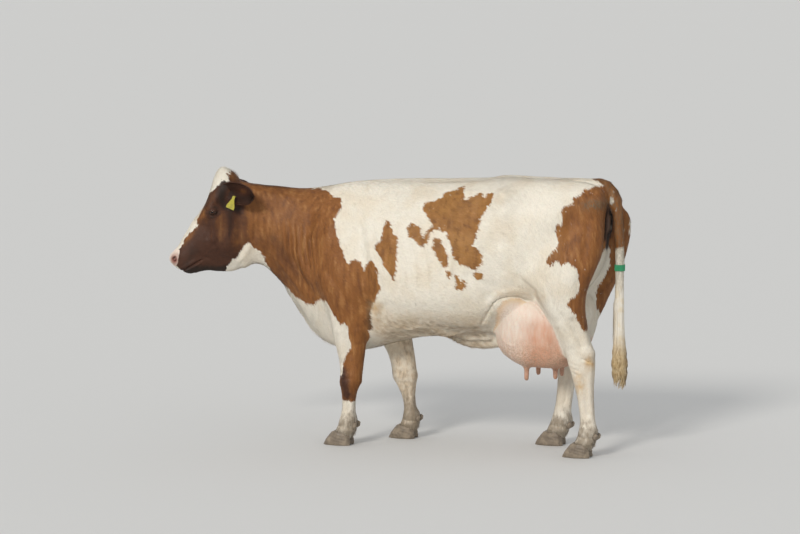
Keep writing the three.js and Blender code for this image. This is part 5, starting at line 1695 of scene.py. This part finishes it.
def switch_piece():
    """The tail's switch: long wavy locks that start along the lower tail and hang in bunches."""
    count = SWITCH_LOCKS
    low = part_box("tail_switch")[0][2]
    share = np.linspace(0, 1, SWITCH_STEPS)
    turn = RANDOM.random(count) * 2 * np.pi
    depth = np.sqrt(RANDOM.random(count)) * 0.72 + 0.28
    bunch = (turn / (2 * np.pi) * SWITCH_BUNCHES).astype(int)
    tone, drop, sway = (RANDOM.random(SWITCH_BUNCHES)[bunch] for _ in range(3))
    middle_turn = (bunch + 0.5) / SWITCH_BUNCHES * 2 * np.pi
    start = 0.560 + 0.36 * RANDOM.random(count) ** 1.5
    depth = np.where(start > 0.60, 0.94 + 0.10 * RANDOM.random(count), depth)
    hang = low + 0.004 + 0.050 * drop + 0.10 * RANDOM.random(count) ** 2.5
    end = np.maximum(hang, start - 0.22 - 0.20 * RANDOM.random(count))
    height = start[:, None] + (end - start)[:, None] * share
    loose, tip = smooth_step(0.66, 0.48, height), smooth_step(0.52, 0.38, height)
    phase = (1.8 * np.sin(2 * turn + 1) + 0.9 * sway + 0.3 * RANDOM.random(count))[:, None]
    side, fore = (np.interp(height, SWITCH_SPREAD[:, 0], column) for column in SWITCH_SPREAD.T[1:])
    angle = turn[:, None] + 0.55 * tip * (middle_turn - turn)[:, None]
    angle = angle + 0.16 * loose * np.sin(height / 0.0125 + phase)
    out = depth[:, None] * (1 + 0.10 * loose * np.sin(height / 0.0100 + phase + 1.5 * tone[:, None]))
    middle = np.interp(height, (0.34, 0.60, 0.98), (1.287, 1.283, 1.282))
    paths = np.stack((middle + fore * out * np.cos(angle), side * out * np.sin(angle), height), axis=2)
    around = np.stack((np.cos(angle), np.sin(angle), 0 * angle), axis=2)
    normals = unit(around + RANDOM.normal(0, 0.25, (count, 1, 3)))
    taper = np.interp(share, (0, 0.1, 0.7, 1), (0.4, 1, 0.9, 0.12))
    widths = (0.0014 + 0.0016 * RANDOM.random(count))[:, None] * taper
    hair = np.repeat(np.clip(0.5 * RANDOM.random(count) + 0.5 * tone, 0, 1)[:, None], SWITCH_STEPS, axis=1)
    along = smooth_step(0.68, 0.50, height)
    spots = cell(*round_axis(paths[:, 0], (1.283, 0, 0), UP, X_AXIS), 0.30, 1.00, 0, 1)
    mesh = lock_mesh("switch", paths, widths, normals, {"hair": hair, "along": along, "root": paths}, spots)
    graph = Graph("switch_hair")
    place = graph.vector("root")
    colour = graph.mix(graph.value("along"), CREAM, paint(208, 184, 140))
    strand = graph.step(graph.value("hair"), 0.40, 0.90, 0.0, 0.90)
    shade = graph.math("MULTIPLY", strand, graph.value("along"))
    colour = graph.mix(shade, colour, paint(148, 114, 70))
    colour = graph.over(colour, paint(220, 201, 163), graph.noise(place, 30), 0.45, 0.7, 0.5)
    mesh.materials.append(graph.finish(colour, 0.42, Specular_IOR_Level=0.5))
    piece = new_object("switch", mesh)
    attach(piece, "root")
    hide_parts("tail_switch")
    return piece


switch_piece()


# ---------------------------------------------------------------- eyes
LASHES = 46


def eye_piece(hand, side):
    """One eyeball with a low cornea; its own axes colour the iris and the pupil."""
    centre, axes = eye_axes(hand)
    shell = bmesh.new()
    bmesh.ops.create_icosphere(shell, subdivisions=5, radius=1)
    mesh = bpy.data.meshes.new("eye")
    shell.to_mesh(mesh)
    shell.free()
    gaze = points_of(mesh)
    along, rise = EYE_RADIUS * gaze[:, :2].T
    past = np.where(np.abs(along) < LID_HALF, np.abs(rise) - np.abs(lid_edge(along, rise > 0)),
                    np.hypot(np.abs(along) - LID_HALF, rise))
    # under the lids it lies a little deeper, so that it shows between them only
    swell = 1 + 0.035 * smooth_step(0.72, 0.92, gaze[:, 2]) - 0.24 * smooth_step(0.0010, 0.0040, past)
    set_points(mesh, centre + ORIGIN + (gaze * EYE_RADIUS * swell[:, None]) @ axes)
    set_values(mesh, "gaze", gaze)
    shade_smooth(mesh)
    graph = Graph("eye_" + side)
    place = graph.vector("gaze")
    nose, up, out = (graph.add("ShaderNodeSeparateXYZ", {0: place}, i) for i in range(3))
    iris = graph.step(out, 0.745, 0.775)
    # the pupil is a lying oval with blunt ends
    pupil = graph.math("ADD", graph.blunt(nose, 0.40), graph.blunt(up, 0.20))
    rays = graph.noise(graph.stretched(place, (26, 26, 4)), 2.0, 4.0)
    brown = graph.mix(rays, paint(52, 32, 22), paint(92, 60, 38))
    brown = graph.over(brown, paint(24, 16, 14), out, 0.82, 0.76)
    white = graph.mix(graph.noise(place, 9), paint(92, 74, 66), paint(50, 36, 32))
    colour = graph.over(paint(10, 9, 12), brown, pupil, 0.85, 1.15)
    colour = graph.mix(iris, white, colour)
    mesh.materials.append(graph.finish(colour, 0.05, Specular_IOR_Level=0.25))
    piece = new_object("eyeball_" + side, mesh)
    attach(piece, "root")
    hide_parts("eye_" + side)


def lashes_piece():
    """The lashes of both upper lids, curving out and down."""
    rows, steps = [], 6
    share = np.linspace(0, 1, steps)[:, None]
    for hand in (1, -1):
        centre, axes = eye_axes(hand)
        for along in np.linspace(-0.0165, 0.0150, LASHES):
            along += RANDOM.normal(0, 0.0004)
            rise = float(lid_edge(np.array(along), True)) + 0.0008
            out = math.sqrt(max((EYE_RADIUS + LID_THICK) ** 2 - along ** 2 - rise ** 2, 0))
            length = 0.013 * (1 - 0.35 * (abs(along) / 0.017) ** 2) * (0.8 + 0.4 * RANDOM.random())
            way = np.array((along * 14 + RANDOM.normal(0, 0.10), -0.10, 1.0))
            path = np.array((along, rise, out)) + length * (share * unit(way) + share ** 2 * (0, -0.55, -0.2))
            rows.append(centre + path @ axes)
    paths = np.array(rows)
    widths = np.tile(0.00075 * np.linspace(1, 0.15, steps), (len(paths), 1))
    normals = np.broadcast_to(UP + 0.3 * HEADING, paths.shape)
    spots = cell(*round_axis(paths[:, 0], from_head(0, -0.14, 0), HEAD_DOWN, -HEAD_OUT), -0.1, 0.68, 0, 1)
    mesh = lock_mesh("lashes", paths, widths, normals, {"root": paths}, spots)
    graph = Graph("lash_hair")
    colour = graph.mix(graph.noise(graph.vector("root"), 300), FACE_BLACK, FACE_BROWN)
    mesh.materials.append(graph.finish(colour, 0.4))
    piece = new_object("lashes", mesh)
    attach(piece, "root")


for hand, side in ((1, "left"), (-1, "right")):
    eye_piece(hand, side)
lashes_piece()


# ---------------------------------------------------------------- hooves
HOOF_VOXEL = 0.0028


def hoof_piece(foot):
    """A foot's two claws and two dewclaws, with rings of growth."""
    names = [f"{kind}_{foot}_{side}" for kind in ("claw", "dewclaw") for side in ("outer", "inner")]
    shell = bmesh.new()
    for name in names:
        shell.from_mesh(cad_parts[name].data)
    mesh = bpy.data.meshes.new("hoof")
    shell.to_mesh(mesh)
    shell.free()
    mesh = cast(new_object("hoof_cast", mesh), HOOF_VOXEL)
    points = points_of(mesh)
    net = Net(edges_of(mesh), len(points))
    low, high = points.min(axis=0), points.max(axis=0)
    points = soften(points, net, np.full(len(points), 0.0055), HOOF_VOXEL)
    normals = normals_at(points, triangles_of(mesh))
    height = points[:, 2] + 0.22 * (points[:, 0] - low[0])
    side = smooth_step(0.8, 0.3, np.abs(normals[:, 2])) * smooth_step(0.004, 0.012, points[:, 2])
    ring = 0.00055 * np.sin(height / 0.0011) + 0.0006 * np.sin(height / 0.0026 + 2)
    points = points + normals * (ring * side)[:, None]
    points = np.clip(points, low, high)
    set_points(mesh, points)
    set_values(mesh, "root", points - ORIGIN)
    set_values(mesh, "height", height)
    shade_smooth(mesh)
    piece = new_object("hoof_" + foot, mesh)
    mesh.materials.append(HOOF)
    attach(piece, "root")
    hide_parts(*names)


def hoof_material():
    graph = Graph("hoof")
    place = graph.vector("root")
    streak = graph.noise(graph.stretched(place, (1.0, 1.0, 0.12)), 260, 3.0)
    blotch = graph.noise(place, 30, 3.0)
    rings = graph.noise(graph.stretched(place, (0.05, 0.05, 1.0)), 480, 2.0)
    colour = graph.mix(streak, paint(92, 81, 69), paint(130, 116, 99))
    colour = graph.over(colour, MUD, blotch, 0.36, 0.70, 0.60)
    colour = graph.mix(graph.step(graph.value("height"), 0.012, 0.045, 0.5, 0.0), colour, paint(96, 84, 68))
    graph.bump(graph.math("MULTIPLY_ADD", rings, 0.6, streak), 0.5, 0.0015)
    return graph.finish(colour, graph.step(blotch, 0.4, 0.65, 0.45, 0.75))


HOOF = hoof_material()
for foot in LEG_NODES:
    hoof_piece(foot)


# ---------------------------------------------------------------- what the cow wears
def bevelled(piece, width):
    bevel = piece.modifiers.new("edges", "BEVEL")
    bevel.width = width
    bevel.segments = 3
    bevel.limit_method = "ANGLE"


def tag_material():
    graph = Graph("ear_tag_plastic")
    place = graph.add("ShaderNodeTexCoord", {}, "Object")
    scuff = graph.noise(place, 160, 4.0)
    colour = graph.over(paint(178, 168, 56), paint(152, 142, 50), scuff, 0.40, 0.70)
    colour = graph.over(colour, paint(126, 116, 62), graph.noise(place, 40), 0.48, 0.66, 0.5)
    graph.bump(scuff, 0.25, 0.0006)
    return graph.finish(colour, graph.step(scuff, 0.3, 0.7, 0.38, 0.60))


def band_material():
    graph = Graph("tail_band_webbing")
    place = graph.add("ShaderNodeTexCoord", {}, "Object")
    weave = graph.add("ShaderNodeTexWave", {"Vector": place, "Scale": 260, "Distortion": 1.5, "Detail": 2.0},
                      "Fac", bands_direction="Z")
    cross = graph.noise(graph.stretched(place, (1, 1, 0.3)), 900, 2.0)
    colour = graph.mix(weave, paint(22, 116, 76), paint(54, 168, 112))
    colour = graph.over(colour, paint(30, 130, 90), graph.noise(place, 90), 0.45, 0.70, 0.4)
    graph.bump(graph.math("MULTIPLY_ADD", cross, 0.5, weave), 0.6, 0.0008)
    return graph.finish(colour, 0.58)


TAG = tag_material()
BAND = band_material()
WORN = {"ear_tag_left": (TAG, 0.0006), "ear_tag_right": (TAG, 0.0006), "tail_band": (BAND, 0.0012)}
for name, (material, width) in WORN.items():
    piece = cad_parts[name]
    bevelled(piece, width)
    piece.data.materials.clear()
    piece.data.materials.append(material)


# ---------------------------------------------------------------- floor, light and camera
def plain_material(name, colour, roughness):
    material = bpy.data.materials.new(name)
    material.use_nodes = True
    shader = material.node_tree.nodes["Principled BSDF"]
    shader.inputs["Base Color"].default_value = (*colour, 1)
    shader.inputs["Roughness"].default_value = roughness
    return material


FLOOR_REACH = 400.0
floor = bpy.data.meshes.new("floor")
corner_ways = ((-1, -1), (1, -1), (1, 1), (-1, 1))
floor.from_pydata([(x * FLOOR_REACH, y * FLOOR_REACH, 0) for x, y in corner_ways], [], [(0, 1, 2, 3)])
floor.materials.append(plain_material("studio_floor", (0.63, 0.625, 0.61), 0.85))
new_object("floor", floor)


def aimed(item, place, target):
    """The item at a place, facing a target; both in the cow's own frame."""
    item.location = Vector(place) + Vector(ORIGIN)
    item.rotation_euler = (Vector(target) - Vector(place)).to_track_quat("-Z", "Y").to_euler()
    return item


MIDDLE = (0.05, 0.0, 0.965)
key = bpy.data.lights.new("key", "SUN")
key.energy = 1.80
key.angle = math.radians(14)
key.color = (1.0, 0.97, 0.92)
aimed(new_object("key", key), (-0.8, -5.0, 3.75), MIDDLE)

world = bpy.data.worlds.new("studio")
world.use_nodes = True
world.node_tree.nodes["Background"].inputs["Color"].default_value = (0.96, 0.98, 1.00, 1)
world.node_tree.nodes["Background"].inputs["Strength"].default_value = 0.70
bpy.context.scene.world = world

VIEW_AZIMUTH = math.radians(18)
VIEW_HEIGHT = math.radians(6)
VIEW_DISTANCE = 18.0
FOCAL_LENGTH = 148.62
SENSOR_WIDTH = 36
lens = bpy.data.cameras.new("camera")
lens.lens = FOCAL_LENGTH
lens.sensor_width = SENSOR_WIDTH
lens.clip_end = 2 * FLOOR_REACH
level = VIEW_DISTANCE * math.cos(VIEW_HEIGHT)
seat = (MIDDLE[0] + level * math.sin(VIEW_AZIMUTH), MIDDLE[1] - level * math.cos(VIEW_AZIMUTH),
        MIDDLE[2] + VIEW_DISTANCE * math.sin(VIEW_HEIGHT))
bpy.context.scene.camera = aimed(new_object("camera", lens), seat, MIDDLE)
bpy.context.scene.view_settings.view_transform = "Standard"


# ---------------------------------------------------------------- corners of a box, and the end
def corners(box):
    return [[float(value) for value in corner] for corner in box]
